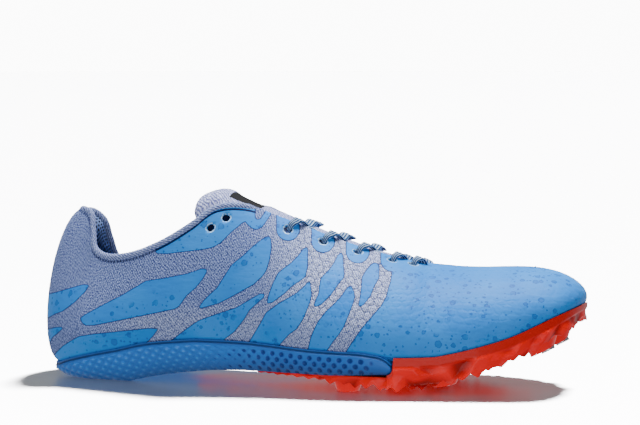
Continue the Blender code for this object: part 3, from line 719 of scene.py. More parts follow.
@dataclass(frozen=True)
class FilmAndKnit:
    """The upper's blue film over its grey lavender knit."""

    film: Colour = tint(36, 120, 202)
    film_light: Colour = tint(46, 132, 212)
    speckle: Colour = tint(14, 62, 138)
    outline: Colour = tint(22, 40, 98)
    yarn_light: Colour = tint(150, 168, 222)
    yarn_dark: Colour = tint(32, 46, 104)
    throat_light: Colour = tint(206, 218, 252)
    throat_dark: Colour = tint(70, 82, 142)
    scale_line: Colour = tint(44, 50, 98)
    navy: Colour = tint(8, 20, 62)
    # Painted highlight: white of the thin ring round each eyelet's rim
    rim_highlight: Colour = tint(190, 226, 248)
    rib_pitch: float = 1.05
    scale_pitch: float = 4.5
    line_half: float = 0.15

    def knit(self, paint: Paint, at: Socket, scales: Socket) -> tuple[Socket, Socket, Socket]:
        """Draw the knit.

        Args:
            paint: The material.
            at: Place on the surface in millimetres.
            scales: Where the knit shows large scales.

        Returns:
            Its colour, its weave from 0 to 1 and its scales' height from 0 to 1.
        """
        stray = paint.times(paint.noise(at, 3.0, 3.0), 2.2)
        ribs = paint.ripple(at, self.rib_pitch, 30.0, stray)
        stitches = paint.ripple(at, self.rib_pitch * 1.4, -62.0, stray)
        grain = paint.noise(at, 0.75, 2.0)
        woven = paint.times(ribs, paint.scaled(stitches, 0.6, 0.4))
        rough = paint.scaled(grain, 2.3, -0.9)
        weave = paint.scaled(woven, 0.62, rough, clamp=True)
        dark = paint.mix(scales, self.yarn_dark, self.throat_dark)
        light = paint.mix(scales, self.yarn_light, self.throat_light)
        colour = paint.mix(weave, dark, light)
        drift = paint.node("TexNoise", {"Vector": at, "Scale": 0.18, "Detail": 0.0}).outputs["Color"]
        drift = paint.vector("MULTIPLY_ADD", drift, (3.0, 3.0, 0.0), at)
        _, to_side = paint.honeycomb(drift, self.scale_pitch)
        seam = paint.times(paint.step(to_side, 0.3, 0.08), scales)
        colour = paint.mix(paint.times(seam, 0.7), colour, self.scale_line)
        quilt = paint.times(paint.step(to_side, 0.0, 1.2), scales)
        return colour, weave, quilt

    def printed_film(self, paint: Paint, place: Socket) -> Socket:
        """Draw the film with its printed rings and dots.

        Args:
            paint: The material.
            place: Place in the shoe, in millimetres.

        Returns:
            Its colour.
        """
        broken = paint.node("TexNoise", {"Vector": place, "Scale": 0.7, "Detail": 2.0}).outputs["Color"]
        broken = paint.vector("MULTIPLY_ADD", broken, (1.3, 1.3, 1.3), place)
        spots = paint.cells(broken, 4.6)
        pick = paint.node("SeparateColor", {0: spots.outputs["Color"]})
        radius = paint.scaled(pick.outputs["Red"], 0.24, 0.1)
        edge = paint.math("SUBTRACT", spots.outputs["Distance"], radius)
        ring = paint.step(paint.math("ABSOLUTE", edge), 0.09, 0.02)
        fill = paint.times(paint.step(edge, 0.04, -0.04), 0.65)
        chosen = paint.math("GREATER_THAN", pick.outputs["Green"], 0.45)
        spot = paint.times(paint.math("MAXIMUM", ring, fill), chosen)
        dots = paint.cells(broken, 1.9)
        dot_pick = paint.node("SeparateColor", {0: dots.outputs["Color"]}).outputs["Blue"]
        dot = paint.times(paint.step(dots.outputs["Distance"], 0.34, 0.22),
                         paint.math("GREATER_THAN", dot_pick, 0.62))
        cluster = paint.step(paint.noise(place, 13.0, 1.0), 0.34, 0.48)
        spot = paint.times(paint.math("MAXIMUM", spot, dot), cluster)
        cloud = paint.step(paint.noise(place, 28.0, 2.0), 0.35, 0.7)
        film = paint.mix(cloud, self.film, self.film_light)
        return paint.mix(paint.times(spot, 0.62), film, self.speckle)

    def make(self) -> Material:
        """Build the material.

        Returns:
            The material.
        """
        paint = Paint("film_and_knit")
        at = paint.surface()
        place = paint.solid()
        panel = paint.attribute("panel")
        below = paint.attribute("below")
        eyelet = paint.attribute("eyelet")
        knit, weave, quilt = self.knit(paint, at, paint.attribute("scales"))
        film = self.printed_film(paint, place)
        # Painted highlight: a thin white ring on the film just outside each eyelet's rim
        rim_highlight_mask = paint.step(paint.math("ABSOLUTE", paint.math("SUBTRACT", eyelet, 0.25)), 0.4, 0.15)
        film = paint.mix(paint.times(rim_highlight_mask, 0.7), film, self.rim_highlight)
        on_film = paint.step(panel, -0.05, 0.05)
        colour = paint.mix(on_film, knit, film)
        line = paint.step(paint.math("ABSOLUTE", panel), self.line_half * 2.2, self.line_half)
        colour = paint.mix(paint.times(line, 0.8), colour, self.outline)
        collar_line = paint.step(paint.math("ABSOLUTE", paint.math("SUBTRACT", below, 3.2)), 0.8, 0.45)
        dash = paint.scaled(paint.ripple(at, 1.9, 0.0), 0.6, 0.3)
        dash = paint.math("MAXIMUM", dash, on_film)
        colour = paint.mix(paint.times(collar_line, dash), colour, self.navy)

        relief = paint.times(weave, paint.math("SUBTRACT", 1.0, on_film))
        normal = paint.bump(relief, 0.32)
        off_film = paint.scaled(on_film, -0.8, 1.0)
        normal = paint.bump(paint.times(quilt, off_film), 0.4, normal)
        normal = paint.bump(paint.step(panel, -0.12, 0.12), 0.16, normal)
        creased = paint.vector("MULTIPLY", place, (0.35, 0.35, 1.0))
        normal = paint.bump(paint.noise(creased, 2.6, 2.0), 0.3, normal)
        roughness = paint.scaled(on_film, -0.46, 0.88)
        return paint.finish(colour, roughness, normal, Specular_IOR_Level=0.05)


@dataclass(frozen=True)
class MeshLining:
    """The lining: lavender mesh with round navy holes, with painted shade darkening the thread lower down."""

    thread: Colour = tint(132, 158, 216)
    # Painted shade: the thread's colour low in the shoe
    lower_painted_shade: Colour = tint(58, 82, 150)
    hole: Colour = tint(6, 14, 56)
    pitch: float = 1.75
    hole_radius: float = 0.56

    def make(self) -> Material:
        """Build the material.

        Returns:
            The material.
        """
        paint = Paint("mesh_lining")
        to_middle, _ = paint.honeycomb(paint.surface(), self.pitch)
        open_mesh = paint.step(to_middle, self.hole_radius + 0.1, self.hole_radius - 0.1)
        # Painted shade: the thread takes the shade colour below 58 mm of height and its own colour above 80
        # mm
        level = paint.node("SeparateXYZ", {0: paint.solid()}).outputs["Z"]
        thread = paint.mix(paint.step(level, 58.0, 80.0), self.lower_painted_shade, self.thread)
        colour = paint.mix(open_mesh, thread, self.hole)
        normal = paint.bump(paint.math("SUBTRACT", 1.0, open_mesh), 0.45)
        return paint.finish(colour, 0.9, normal, Specular_IOR_Level=0.25)


@dataclass(frozen=True)
class RibbedKnit:
    """Knit in short slanted ribs: the tongue and the collar's binding."""

    name: str
    light: Colour
    dark: Colour
    pitch: float = 0.9
    angle: float = 20.0
    patch: Colour = tint(4, 4, 8)
    stray: float = 1.2

    def make(self) -> Material:
        """Build the material.

        Returns:
            The material.
        """
        paint = Paint(self.name)
        at = paint.surface()
        stray = paint.times(paint.noise(at, 2.6, 2.0), self.stray)
        ribs = paint.ripple(at, self.pitch, self.angle, stray)
        cross = paint.ripple(at, self.pitch * 1.9, self.angle + 84.0, stray)
        grain = paint.noise(at, 0.6, 2.0)
        weave = paint.times(ribs, paint.scaled(cross, 0.45, 0.55))
        loose = paint.scaled(weave, 0.9, -0.55)
        weave = paint.scaled(grain, 1.2, loose, clamp=True)
        colour = paint.mix(weave, self.dark, self.light)
        patch = paint.step(paint.attribute("patch"), -0.15, 0.15)
        colour = paint.mix(patch, colour, self.patch)
        relief = paint.times(weave, paint.math("SUBTRACT", 1.0, patch))
        normal = paint.bump(relief, 0.35)
        normal = paint.bump(patch, 0.25, normal)
        roughness = paint.scaled(patch, -0.15, 0.9)
        return paint.finish(colour, roughness, normal, Specular_IOR_Level=0.15)


@dataclass(frozen=True)
class MouldedFoam:
    """The sole's blue foam, with its bumps and groove; painted highlight on the bumps' peaks and the studs'
    tops, painted shade in the valleys, in the groove and towards the bottom of the side.
    """

    body: Colour = tint(32, 108, 194)
    # Painted highlight: lighter blue on the bumps' peaks and the studs' tops
    peak_highlight: Colour = tint(66, 142, 222)
    # Painted shade in the valleys and dimples; also the colour of the random darker mottle
    valley_shade_and_mottle: Colour = tint(6, 54, 130)
    # Painted shade: dark blue in the groove's recess
    groove: Colour = tint(4, 50, 104)
    # Painted shade: darker navy towards the bottom of the side
    deep: Colour = tint(2, 18, 60)

    def make(self) -> Material:
        """Build the material.

        Returns:
            The material.
        """
        paint = Paint("moulded_foam")
        place = paint.solid()
        relief = paint.attribute("relief")
        # Painted highlight: the bumps' peaks lighter
        colour = paint.mix(paint.step(relief, 0.45, 1.0), self.body, self.peak_highlight)
        # Painted shade: the valleys and dimples darker
        colour = paint.mix(paint.step(relief, 0.12, -0.25), colour, self.valley_shade_and_mottle)
        cloud = paint.noise(place, 9.0, 3.0)
        # Random darker mottle, mixed towards the valley shade colour
        colour = paint.mix(paint.times(cloud, 0.25), colour, self.valley_shade_and_mottle)
        # Painted shade: darker towards the bottom of the side
        colour = paint.mix(paint.attribute("low"), colour, self.deep)
        # Painted shade in the groove
        colour = paint.mix(paint.attribute("groove"), colour, self.groove)
        flat = paint.vector("MULTIPLY", place, (1.0, 1.0, 0.0))
        to_middle, _ = paint.honeycomb(flat, 4.4)
        stud = paint.times(paint.step(to_middle, 1.9, 0.3), paint.attribute("under"))
        # Painted highlight: the studs' middles lighter on the underside
        colour = paint.mix(paint.times(stud, 0.7), colour, self.peak_highlight)
        normal = paint.bump(paint.noise(place, 0.5, 3.0), 0.06)
        normal = paint.bump(stud, 1.1, normal)
        roughness = paint.scaled(cloud, 0.15, 0.4)
        return paint.finish(colour, roughness, normal, Specular_IOR_Level=0.25)


@dataclass(frozen=True)
class GlossPlate:
    """The glossy orange red plate, with painted shade deepening the red in its recessed facets, pockets and
    bores.
    """

    rim: Colour = tint(186, 10, 0)
    body: Colour = tint(222, 4, 6)
    # Painted shade: deep red for the recessed facets, the pocket floors and the bores
    deep: Colour = tint(60, 1, 2)
    rib: Colour = tint(236, 22, 16)

    def make(self) -> Material:
        """Build the material.

        Returns:
            The material.
        """
        paint = Paint("gloss_plate")
        place = paint.solid()
        swirl = paint.noise(place, 14.0, 3.0)
        colour = paint.mix(paint.step(swirl, 0.35, 0.65), self.body, self.rib)
        colour = paint.mix(paint.attribute("smooth"), colour, self.rim)
        # Painted shade in the hollows
        colour = paint.mix(paint.attribute("hollow"), colour, self.deep)
        colour = paint.mix(paint.times(paint.attribute("ridge"), 0.7), colour, self.rib)
        normal = paint.bump(paint.noise(place, 3.5, 3.0), 0.1)
        return paint.finish(colour, 0.34, normal, Coat_Weight=0.06, Coat_Roughness=0.08,
                            Specular_IOR_Level=0.12)


@dataclass(frozen=True)
class TurnedSteel:
    """The spike sockets' steel."""

    steel: Colour = tint(176, 178, 182)
    soot: Colour = tint(70, 70, 74)

    def make(self) -> Material:
        """Build the material.

        Returns:
            The material.
        """
        paint = Paint("turned_steel")
        place = paint.solid()
        stain = paint.noise(place, 2.5, 4.0)
        colour = paint.mix(paint.step(stain, 0.45, 0.75), self.steel, self.soot)
        roughness = paint.scaled(stain, 0.3, 0.18)
        normal = paint.bump(paint.noise(place, 0.4, 2.0), 0.03)
        return paint.finish(colour, roughness, normal, Metallic=1.0)


@dataclass(frozen=True)
class StripedLace:
    """The flat woven lace: pale blue with white and navy stripes along it."""

    pale: Colour = tint(58, 122, 190)
    white: Colour = tint(206, 228, 250)
    navy: Colour = tint(8, 24, 66)
    stripe: float = 1.45

    def make(self) -> Material:
        """Build the material.

        Returns:
            The material.
        """
        paint = Paint("striped_lace")
        at = paint.surface()
        across = paint.node("SeparateXYZ", {0: at}).outputs["Y"]
        wave = paint.math("COSINE", paint.times(across, math.tau / self.stripe))
        wave = paint.scaled(wave, 0.5, 0.5)
        colour = paint.mix(paint.step(wave, 0.6, 0.95), self.pale, self.white)
        colour = paint.mix(paint.times(paint.step(wave, 0.36, 0.12), 0.95), colour, self.navy)
        weave = paint.ripple(at, 0.55, 35.0)
        colour = paint.mix(paint.times(weave, 0.35), colour, self.navy)
        normal = paint.bump(weave, 0.18)
        return paint.finish(colour, 0.85, normal, Specular_IOR_Level=0.3)


@dataclass(frozen=True)
class EyeletShadeNavy:
    """Plain navy, which stands in for the shade behind the eyelets."""

    # Painted shade: the navy that stands in for the shade behind the eyelets
    navy: Colour = tint(12, 24, 62)

    def make(self) -> Material:
        """Build the material.

        Returns:
            The material.
        """
        paint = Paint("gusset_cloth")
        normal = paint.bump(paint.noise(paint.solid(), 0.6, 2.0), 0.1)
        return paint.finish(self.navy, 0.9, normal, Specular_IOR_Level=0.2)


@dataclass(frozen=True)
class InsoleCloth:
    """The cloth over the insole."""

    light: Colour = tint(52, 74, 132)
    dark: Colour = tint(20, 32, 72)

    def make(self) -> Material:
        """Build the material.

        Returns:
            The material.
        """
        paint = Paint("insole_cloth")
        place = paint.solid()
        one = paint.ripple(place, 0.8, 45.0)
        two = paint.ripple(place, 0.8, -45.0)
        weave = paint.times(one, two)
        colour = paint.mix(weave, self.dark, self.light)
        normal = paint.bump(weave, 0.2)
        return paint.finish(colour, 0.95, normal, Specular_IOR_Level=0.2)


@dataclass(frozen=True)
class PaleFloor:
    """The studio's floor."""

    white: Colour = (0.55, 0.55, 0.56, 1.0)

    def make(self) -> Material:
        """Build the material."""
        paint = Paint("pale_floor")
        return paint.finish(self.white, 0.22, Specular_IOR_Level=0.5)


class Sheet:
    """A grid of points that becomes one mesh, with numbers for its material to read."""

    def __init__(self, points: Array) -> None:
        """Start from rows by columns of points.

        Args:
            points: Rows by columns by 3.
        """
        self.points = points
        self.numbers: dict[str, Array] = {}
        self.surface: Optional[Array] = None

    def carry(self, name: str, values: Array) -> None:
        """Add a number for each point."""
        self.numbers[name] = np.broadcast_to(values, self.points.shape[:2])

    def lay(self, along: Array, up: Array) -> None:
        """Give each point its place on the UV map, in metres."""
        shape = self.points.shape[:2]
        self.surface = np.stack([np.broadcast_to(along, shape), np.broadcast_to(up, shape)], axis=-1)

    def build(self) -> Shape:
        """Make the bmesh, with doubled points still apart.

        Returns:
            A bmesh with its numbers and its UV map.
        """
        rows, columns = self.points.shape[:2]
        bm = bmesh.new()
        bmesh.ops.create_grid(bm, x_segments=columns - 1, y_segments=rows - 1, size=0.5)
        layers = {name: bm.verts.layers.float.new(name) for name in self.numbers}
        spots = {}
        for vert in bm.verts:
            column = round((vert.co.x + 0.5) * (columns - 1))
            row = round((vert.co.y + 0.5) * (rows - 1))
            spots[vert] = (row, column)
            for name, layer in layers.items():
                vert[layer] = self.numbers[name][row, column]
        if self.surface is not None:
            layer = bm.loops.layers.uv.new("surface")
            for face in bm.faces:
                for loop in face.loops:
                    loop[layer].uv = self.surface[spots[loop.vert]]
        for vert, spot in spots.items():
            vert.co = self.points[spot]
        return bm

    def closed(self) -> Shape:
        """Make the bmesh with its seams merged and its open ends filled.

        Returns:
            A closed bmesh.
        """
        bm = self.build()
        bmesh.ops.remove_doubles(bm, verts=bm.verts, dist=MERGE_DISTANCE)
        bmesh.ops.holes_fill(bm, edges=bm.edges)
        return bm


class Workshop:
    """Turns bmeshes into dressed pieces that ride on the frame."""

    def __init__(self, last: Last) -> None:
        """Find where the heel's middle lies in the frame, from the socket under the ball.

        Args:
            last: The last.
        """
        self.last = last
        low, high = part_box("spike_socket_%d" % ANCHOR_SOCKET)
        along, across = SOCKETS[ANCHOR_SOCKET - 1]
        middle = (low + high) / 2
        self.origin = Vector((middle.x - along * last.length, middle.y - across * last.width, 0.0))

    def piece(self, name: str, bm: Shape, finishes: Iterable[Material],
              slot: Slot, replaces: Sequence[str] = (), facing: Optional[Callable] = None,
              crease: float = 60.0) -> Item:
        """Finish a piece.

        Args:
            name: The piece's name.
            bm: Its shape, from the heel's middle; it is used up.
            finishes: Its materials in order.
            slot: The record's slot; not used.
            replaces: The CAD nodes that it stands for.
            facing: For an open sheet, the outward direction wanted at a point.
            crease: Angle in degrees past which an edge is sharp.

        Returns:
            The object.
        """
        bmesh.ops.remove_doubles(bm, verts=bm.verts, dist=MERGE_DISTANCE)
        bmesh.ops.dissolve_degenerate(bm, edges=bm.edges, dist=SLIVER)
        bmesh.ops.recalc_face_normals(bm, faces=bm.faces)
        if facing is not None:
            agree = sum(face.normal.dot(facing(face.calc_center_median())) for face in bm.faces)
            if agree < 0:
                bmesh.ops.reverse_faces(bm, faces=bm.faces)
        bmesh.ops.translate(bm, vec=self.origin, verts=bm.verts)
        mesh = bpy.data.meshes.new(name)
        bm.to_mesh(mesh)
        bm.free()
        mesh.shade_smooth()
        mesh.set_sharp_from_angle(angle=math.radians(crease))
        for material in finishes:
            mesh.materials.append(material)
        item = bpy.data.objects.new(name, mesh)
        bpy.context.scene.collection.objects.link(item)
        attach(item, BODY)
        if replaces:
            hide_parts(*replaces)
        LOG.info("%s: %d faces", name, len(mesh.polygons))
        return item

    def thicken(self, item: Item, thickness: float, inside: int = 0) -> None:
        """Give an open sheet its wall, inwards, with the inner face on another material.

        Args:
            item: The sheet.
            thickness: Its wall.
            inside: How many places on the inner face's material stands.
        """
        wall = item.modifiers.new("Wall", "SOLIDIFY")
        wall.thickness = thickness
        wall.offset = -1.0
        wall.material_offset = inside


@dataclass
class Piece:
    """A piece of the shoe, drawn on the last and finished in the workshop."""

    shop: Workshop

    @property
    def last(self) -> Last:
        """Give the workshop's last."""
        return self.shop.last


@dataclass(frozen=True)
class FilmPanels:
    """Where the film lies on the lateral side, as outlines in points of the photograph."""

    heel_upper: Outline = (
        (36, 297), (51.5, 293.5), (69.3, 288.4), (82.1, 284.8), (87.4, 284.6), (88.9, 286), (84.6, 292.2),
        (74.4, 302.4), (62.3, 311.4), (55.3, 313.9), (48.3, 317.8), (36, 321),
    )
    heel_lower: Outline = (
        (36, 333), (48.3, 329.2), (55.3, 327.3), (61.7, 326.9), (63, 328), (57.9, 333.1), (52.8, 336.9),
        (49.6, 343.3), (36, 352),
    )
    quarter: Outline = (
        (80.2, 318.4), (84, 315.2), (103.8, 304.4), (121.6, 295.4), (134.4, 287.8), (145.9, 280.8),
        (167.6, 277.6), (186.7, 273.8), (202, 268.6), (206.5, 269.3), (207.1, 271.2), (202, 280.1),
        (195, 288.4), (186.7, 295.4), (179, 306.3), (175.2, 308.8), (166.3, 310.7), (142, 315.8),
        (116.5, 320.9), (93.6, 325.4), (85.9, 325.4), (82.1, 322.9),
    )
    quarter_lower: Outline = (
        (44, 366), (52.1, 357.3), (56.6, 352.2), (63, 345.8), (70.6, 341), (78.9, 336.3), (96.1, 333.7),
        (119.1, 331.4), (136.9, 329.5), (148.4, 328.2), (157.3, 328.6), (157.6, 329.9), (152.9, 336.3),
        (148.4, 341), (138, 350), (90, 366), (50, 380),
    )
    eyestay: Outline = (
        (155.4, 250.2), (156.1, 252.7), (158, 253.7), (167.6, 253.7), (180.3, 252.1), (199.4, 249.9),
        (207, 248.8), (214, 246.8), (221, 242.5), (230.5, 232.7), (241, 224), (249, 217.6), (253.6, 213.8),
        (256, 207), (250, 200), (215, 200), (190, 218), (160, 238),
    )
    eyestay_tab: Outline = (
        (244, 219.5), (246.6, 223.2), (250, 227), (254, 229.2), (257.5, 229.4), (261.2, 227.6),
        (264.2, 224.2), (270.5, 215), (272, 209), (266.5, 209), (264, 213.5), (260.5, 218.8), (257.5, 219.6),
        (255.2, 218), (255, 207), (250, 207),
    )
    second: Outline = (
        (269.5, 236.8), (270.9, 239.6), (271.3, 247.4), (269.8, 258.6), (266, 271.2), (261.8, 276.8),
        (253.3, 284.6), (240.7, 291.6), (228.1, 298.6), (218.2, 303.5), (208.4, 306.3), (200, 308.4),
        (198.9, 307), (203.5, 300.7), (209.8, 294.4), (216.8, 288.1), (223.9, 276.8), (231.6, 264.9),
        (242.1, 256.5), (251.9, 247.4), (260.4, 240.4), (267.4, 236.1),
    )
    second_lower: Outline = (
        (158, 352), (172.6, 339.4), (186, 329.2), (196.9, 321.6), (200.7, 319.7), (218.6, 313.3),
        (236.4, 307.6), (250, 299.5), (260.5, 293.5), (264.5, 294), (264, 297), (258, 302.5), (249.1, 310.5),
        (244.9, 318.2), (237.9, 327.4), (233.7, 332.3), (226, 338), (212, 352),
    )
    third: Outline = (
        (306.7, 247.1), (307.8, 250.2), (307.8, 258.6), (307.4, 267), (305.3, 276.8), (300.4, 280.4),
        (291.2, 286.7), (284.9, 293), (273, 302.1), (267.6, 303.5), (267.1, 301.4), (269.5, 292.3),
        (273, 283.2), (277.9, 273.3), (282.8, 269.1), (291.2, 262.8), (298.2, 255.8), (303.2, 248.8),
    )
    third_lower: Outline = (
        (308.8, 280.8), (310.2, 283.2), (311.6, 294.4), (309.5, 303.5), (303.2, 318.9), (296.8, 328.8),
        (289.1, 334.4), (281.4, 342.8), (272, 356), (240, 356), (251.2, 338.6), (255.4, 331.6),
        (260.4, 323.2), (266, 312.6), (278.6, 303.5), (289.8, 297.2), (296.8, 293), (303.9, 286.7),
    )
    fourth: Outline = (
        (341.8, 253), (342.9, 255.8), (343.4, 264.2), (344.1, 274), (343.9, 277.5), (338.9, 283.2),
        (334.7, 289.5), (330.5, 295.1), (320.7, 304.9), (315.4, 307), (314, 304.9), (316.5, 297.9),
        (318.6, 294.4), (319.3, 286.7), (320.7, 278.9), (322.8, 276.1), (329.1, 269.8), (334, 262.8),
        (338.2, 254.4),
    )
    fourth_lower: Outline = (
        (350.6, 284.6), (353.7, 290.9), (354.8, 296.5), (353, 303.5), (343.9, 326.7), (338.9, 334.4),
        (333.3, 341.4), (327, 350.5), (320, 362), (302, 362), (308.1, 348.4), (310.9, 337.2),
        (314.4, 328.8), (317.9, 321.8), (326.3, 311.2), (334.7, 303.5), (341.8, 295.8), (346, 289.5),
    )
    fifth: Outline = (
        (374.5, 262.5), (378.2, 263.5), (379.2, 269.8), (378.9, 278.2), (374, 286.7), (370.5, 295.8),
        (363.5, 304.9), (359.6, 307), (358.3, 304.9), (360, 297.9), (361.4, 286.7), (362.1, 276.8),
        (365.6, 271.2), (370.5, 264.9),
    )
    toe: Outline = (
        (398, 270), (392.5, 269), (390.5, 282), (388.5, 288), (386.7, 295.8), (381, 306.3), (371.2, 317.5),
        (361.4, 328.8), (352.3, 342.1), (346.7, 350.5), (338, 368), (420, 420), (680, 380), (680, 220),
        (440, 240), (412, 252),
    )
    tab_radius: float = 11.6
    tab_reach: float = 14.0
    scale: float = 1.985

    def outlines(self) -> list[Outline]:
        """List the outlines.

        Returns:
            All of them, in no order that matters.
        """
        return [self.heel_upper, self.heel_lower, self.quarter, self.quarter_lower, self.eyestay,
                self.eyestay_tab, self.second, self.second_lower, self.third, self.third_lower,
                self.fourth, self.fourth_lower, self.fifth, self.toe]

    @staticmethod
    def inside(points: Array, outline: Outline) -> Array:
        """Measure how far points lie inside an outline, negative outside.

        Args:
            points: Picture points, n by 2.
            outline: Corners in order.

        Returns:
            Distances in pixels.
        """
        corners = np.array(outline, float)
        following = np.roll(corners, -1, axis=0)
        nearest = np.full(len(points), 1e9)
        within = np.zeros(len(points), bool)
        for start, end in zip(corners, following):
            run = end - start
            part = np.clip(((points - start) @ run) / (run @ run), 0, 1)
            away = np.linalg.norm(points - start - part[:, None] * run, axis=1)
            nearest = np.minimum(nearest, away)
            crosses = (start[1] > points[:, 1]) != (end[1] > points[:, 1])
            slope = run[0] / run[1] if run[1] else 0.0
            within ^= crosses & (points[:, 0] < start[0] + (points[:, 1] - start[1]) * slope)
        return np.where(within, nearest, -nearest)

    def depth(self, points: Array, eyelets: Array) -> Array:
        """Measure how deep in the film points lie, in millimetres, negative on the knit.

        Args:
            points: Picture points, n by 2.
            eyelets: Picture points of the laced eyelets' middles.

        Returns:
            The depths.
        """
        deepest = np.max([self.inside(points, outline) for outline in self.outlines()], axis=0)
        for middle in eyelets:
            drop = np.clip(points[:, 1] - middle[1], -self.tab_reach, 0.0)
            spot = np.stack([np.full(len(points), middle[0]), middle[1] + drop], axis=-1)
            tab = self.tab_radius - np.linalg.norm(points - spot, axis=1)
            deepest = np.maximum(deepest, tab)
        return deepest / self.scale


@dataclass
class Upper(Piece):
    """The hollow upper: film over knit outside, mesh inside, open at collar, throat and eyelets."""

    view: PhotoView
    column_pitch: float = 0.00125
    row_count: int = 70
    tuck: float = 0.002
    plain_insets: tuple = (0.0104, 0.0076)
    eyelet_radius: float = 0.0021
    slot_inset: float = 0.0064
    slot_radius: float = 0.0023
    slot_squeeze: float = 0.62
    collar_end: float = 0.425
    past_collar: float = 50.0
    search: float = 0.008
    pitch_level: float = 0.3
    wall_share: float = 0.8
    scales_ahead: Pair = (255.0, 60.0)
    scales_above: Pair = (345.0, -20.0)
    band_below: Pair = (300.0, 20.0)
    band_ahead: Pair = (90.0, 60.0)
    band_share: float = 0.6

    def eyelets(self, side: Side) -> dict[float, Array]:
        """Give the middle of each eyelet on a side by its share of the length.

        Args:
            side: Which side.

        Returns:
            The middles by share of the length.
        """
        middles = {}
        for share in (*PLAIN_EYELETS, *LACED_EYELETS):
            station = np.array([self.last.station_of_top(share)])
            laced = share in LACED_EYELETS
            inset = self.slot_inset if laced else self.plain_insets[PLAIN_EYELETS.index(share)]
            rise = self.last.rise_at(station, side, np.array([[inset]]))
            middles[share] = self.last.wall_points(station, side, rise)[0, 0]
        return middles

    def side_points(self, stations: Array, side: Side) -> tuple[Array, Array]:
        """Give one side's points, rows by columns, and their distances below the top edge.

        Args:
            stations: Stations along the side.
            side: Which side.

        Returns:
            Both, in metres.
        """
        length = self.last.wall_length(stations, side)[:, None]
        share = np.linspace(1.0, 0.0, self.row_count)[None, :]
        below = length * share
        rise = self.last.rise_at(stations, side, below)
        skirt = np.array([-1.0, -0.5])[None, :] * self.tuck / self.last.height
        rise = np.concatenate([np.broadcast_to(skirt, (len(stations), 2)), rise], axis=1)
        below = np.concatenate([np.broadcast_to(length, (len(stations), 2)), below], axis=1)
        inset = np.zeros_like(rise)
        inset[:, :2] = -self.tuck
        return self.last.offset(stations, side, rise, inset).transpose(1, 0, 2), below.T

    def numbers(self, points: Array, below: Array, stations: Array) -> dict[str, Array]:
        """Work out what the finish reads, on the lateral side.

        Args:
            points: The side's points.
            below: Their distances below the top edge.
            stations: The columns' stations.

        Returns:
            Numbers for each point by name.
        """
        rows, columns = points.shape[:2]
        flat = points.reshape(-1, 3)
        seen = self.view.project(flat)
        middles = self.eyelets(Side.LATERAL)
        laced = self.view.project(np.array([middles[share] for share in LACED_EYELETS]))
        panel = FilmPanels().depth(seen, laced).reshape(rows, columns)
        # Distance to the nearest eyelet rim, from which the film's painted highlight ring is drawn
        away = np.min([self.from_rim(flat, share, middle) for share, middle in middles.items()], axis=0)
        eyelet = away.reshape(rows, columns) / MILLIMETRE
        top_x = self.last.ribs(stations).top_x
        open_collar = np.where(top_x < self.collar_end, 0.0, self.past_collar)[None, :]
        across, down = seen[:, 0].reshape(rows, columns), seen[:, 1].reshape(rows, columns)
        forward = ramp(across, *self.scales_ahead) * ramp(down, *self.scales_above)
        low_band = ramp(down, *self.band_below) * ramp(across, *self.band_ahead) * self.band_share
        return {"panel": panel, "eyelet": eyelet, "below": below / MILLIMETRE + open_collar,
                "scales": np.maximum(forward, low_band)}

    def rim(self, share: float) -> tuple[float, Array]:
        """Give an eyelet's radius and how its height is squeezed when it is measured.

        Args:
            share: The eyelet's share of the length.

        Returns:
            The radius and the factors.
        """
        if share in LACED_EYELETS:
            return self.slot_radius, np.array([1.0, 1.0, self.slot_squeeze])
        return self.eyelet_radius, np.ones(3)

    def from_rim(self, points: Array, share: float, middle: Array) -> Array:
        """Measure how far points lie outside the rim of an eyelet."""
        radius, squeeze = self.rim(share)
        return np.linalg.norm((points - middle) * squeeze, axis=-1) - radius

    def cut_eyelets(self, bm: Shape) -> None:
        """Open the eyelets and draw the cut edges onto their rims.

        Args:
            bm: The upper's shape, which is changed.
        """
        for side in Side:
            for share, middle in self.eyelets(side).items():
                near = [face for face in bm.faces
                        if (face.calc_center_median() - Vector(middle)).length < self.search]
                gone = [face for face in near
                        if self.from_rim(np.array(face.calc_center_median()), share, middle) < 0]
                ring = {vert for face in gone for vert in face.verts}
                bmesh.ops.delete(bm, geom=gone, context="FACES")
                radius, squeeze = self.rim(share)
                for vert in ring:
                    if vert.is_valid:
                        away = (np.array(vert.co) - middle) * squeeze
                        vert.co = middle + unit(away) * radius / squeeze

    def build(self, outside: Material,
              inside: Material) -> Item:
        """Make the upper.

        Args:
            outside: Material of the outer face.
            inside: Material of the inner face and the edges.

        Returns:
            The piece.
        """
        stations = self.last.even_stations(0.0, self.last.toe, self.column_pitch, self.pitch_level)
        lateral, below = self.side_points(stations, Side.LATERAL)
        medial, _ = self.side_points(stations, Side.MEDIAL)
        numbers = self.numbers(lateral, below, stations)
        points = np.concatenate([lateral, medial[:, ::-1]], axis=1)
        sheet = Sheet(points)
        for name, values in numbers.items():
            sheet.carry(name, np.concatenate([values, values[:, ::-1]], axis=1))
        middle = lateral[self.row_count // 2]
        along = lengths_along(middle)
        total = np.concatenate([along, along[-1] * 2 - along[::-1]])
        up = np.concatenate([-below, -below[:, ::-1]], axis=1)
        sheet.lay(total[None, :], up)
        bm = sheet.build()
        self.cut_eyelets(bm)
        core = Vector((self.last.length / 2, 0.0, self.last.height / 2))
        upper = self.shop.piece("upper_shell", bm, (outside, inside), Slot.KNIT, ("upper",),
                                lambda point: point - core)
        self.shop.thicken(upper, self.last.wall * self.wall_share, 1)
        return upper


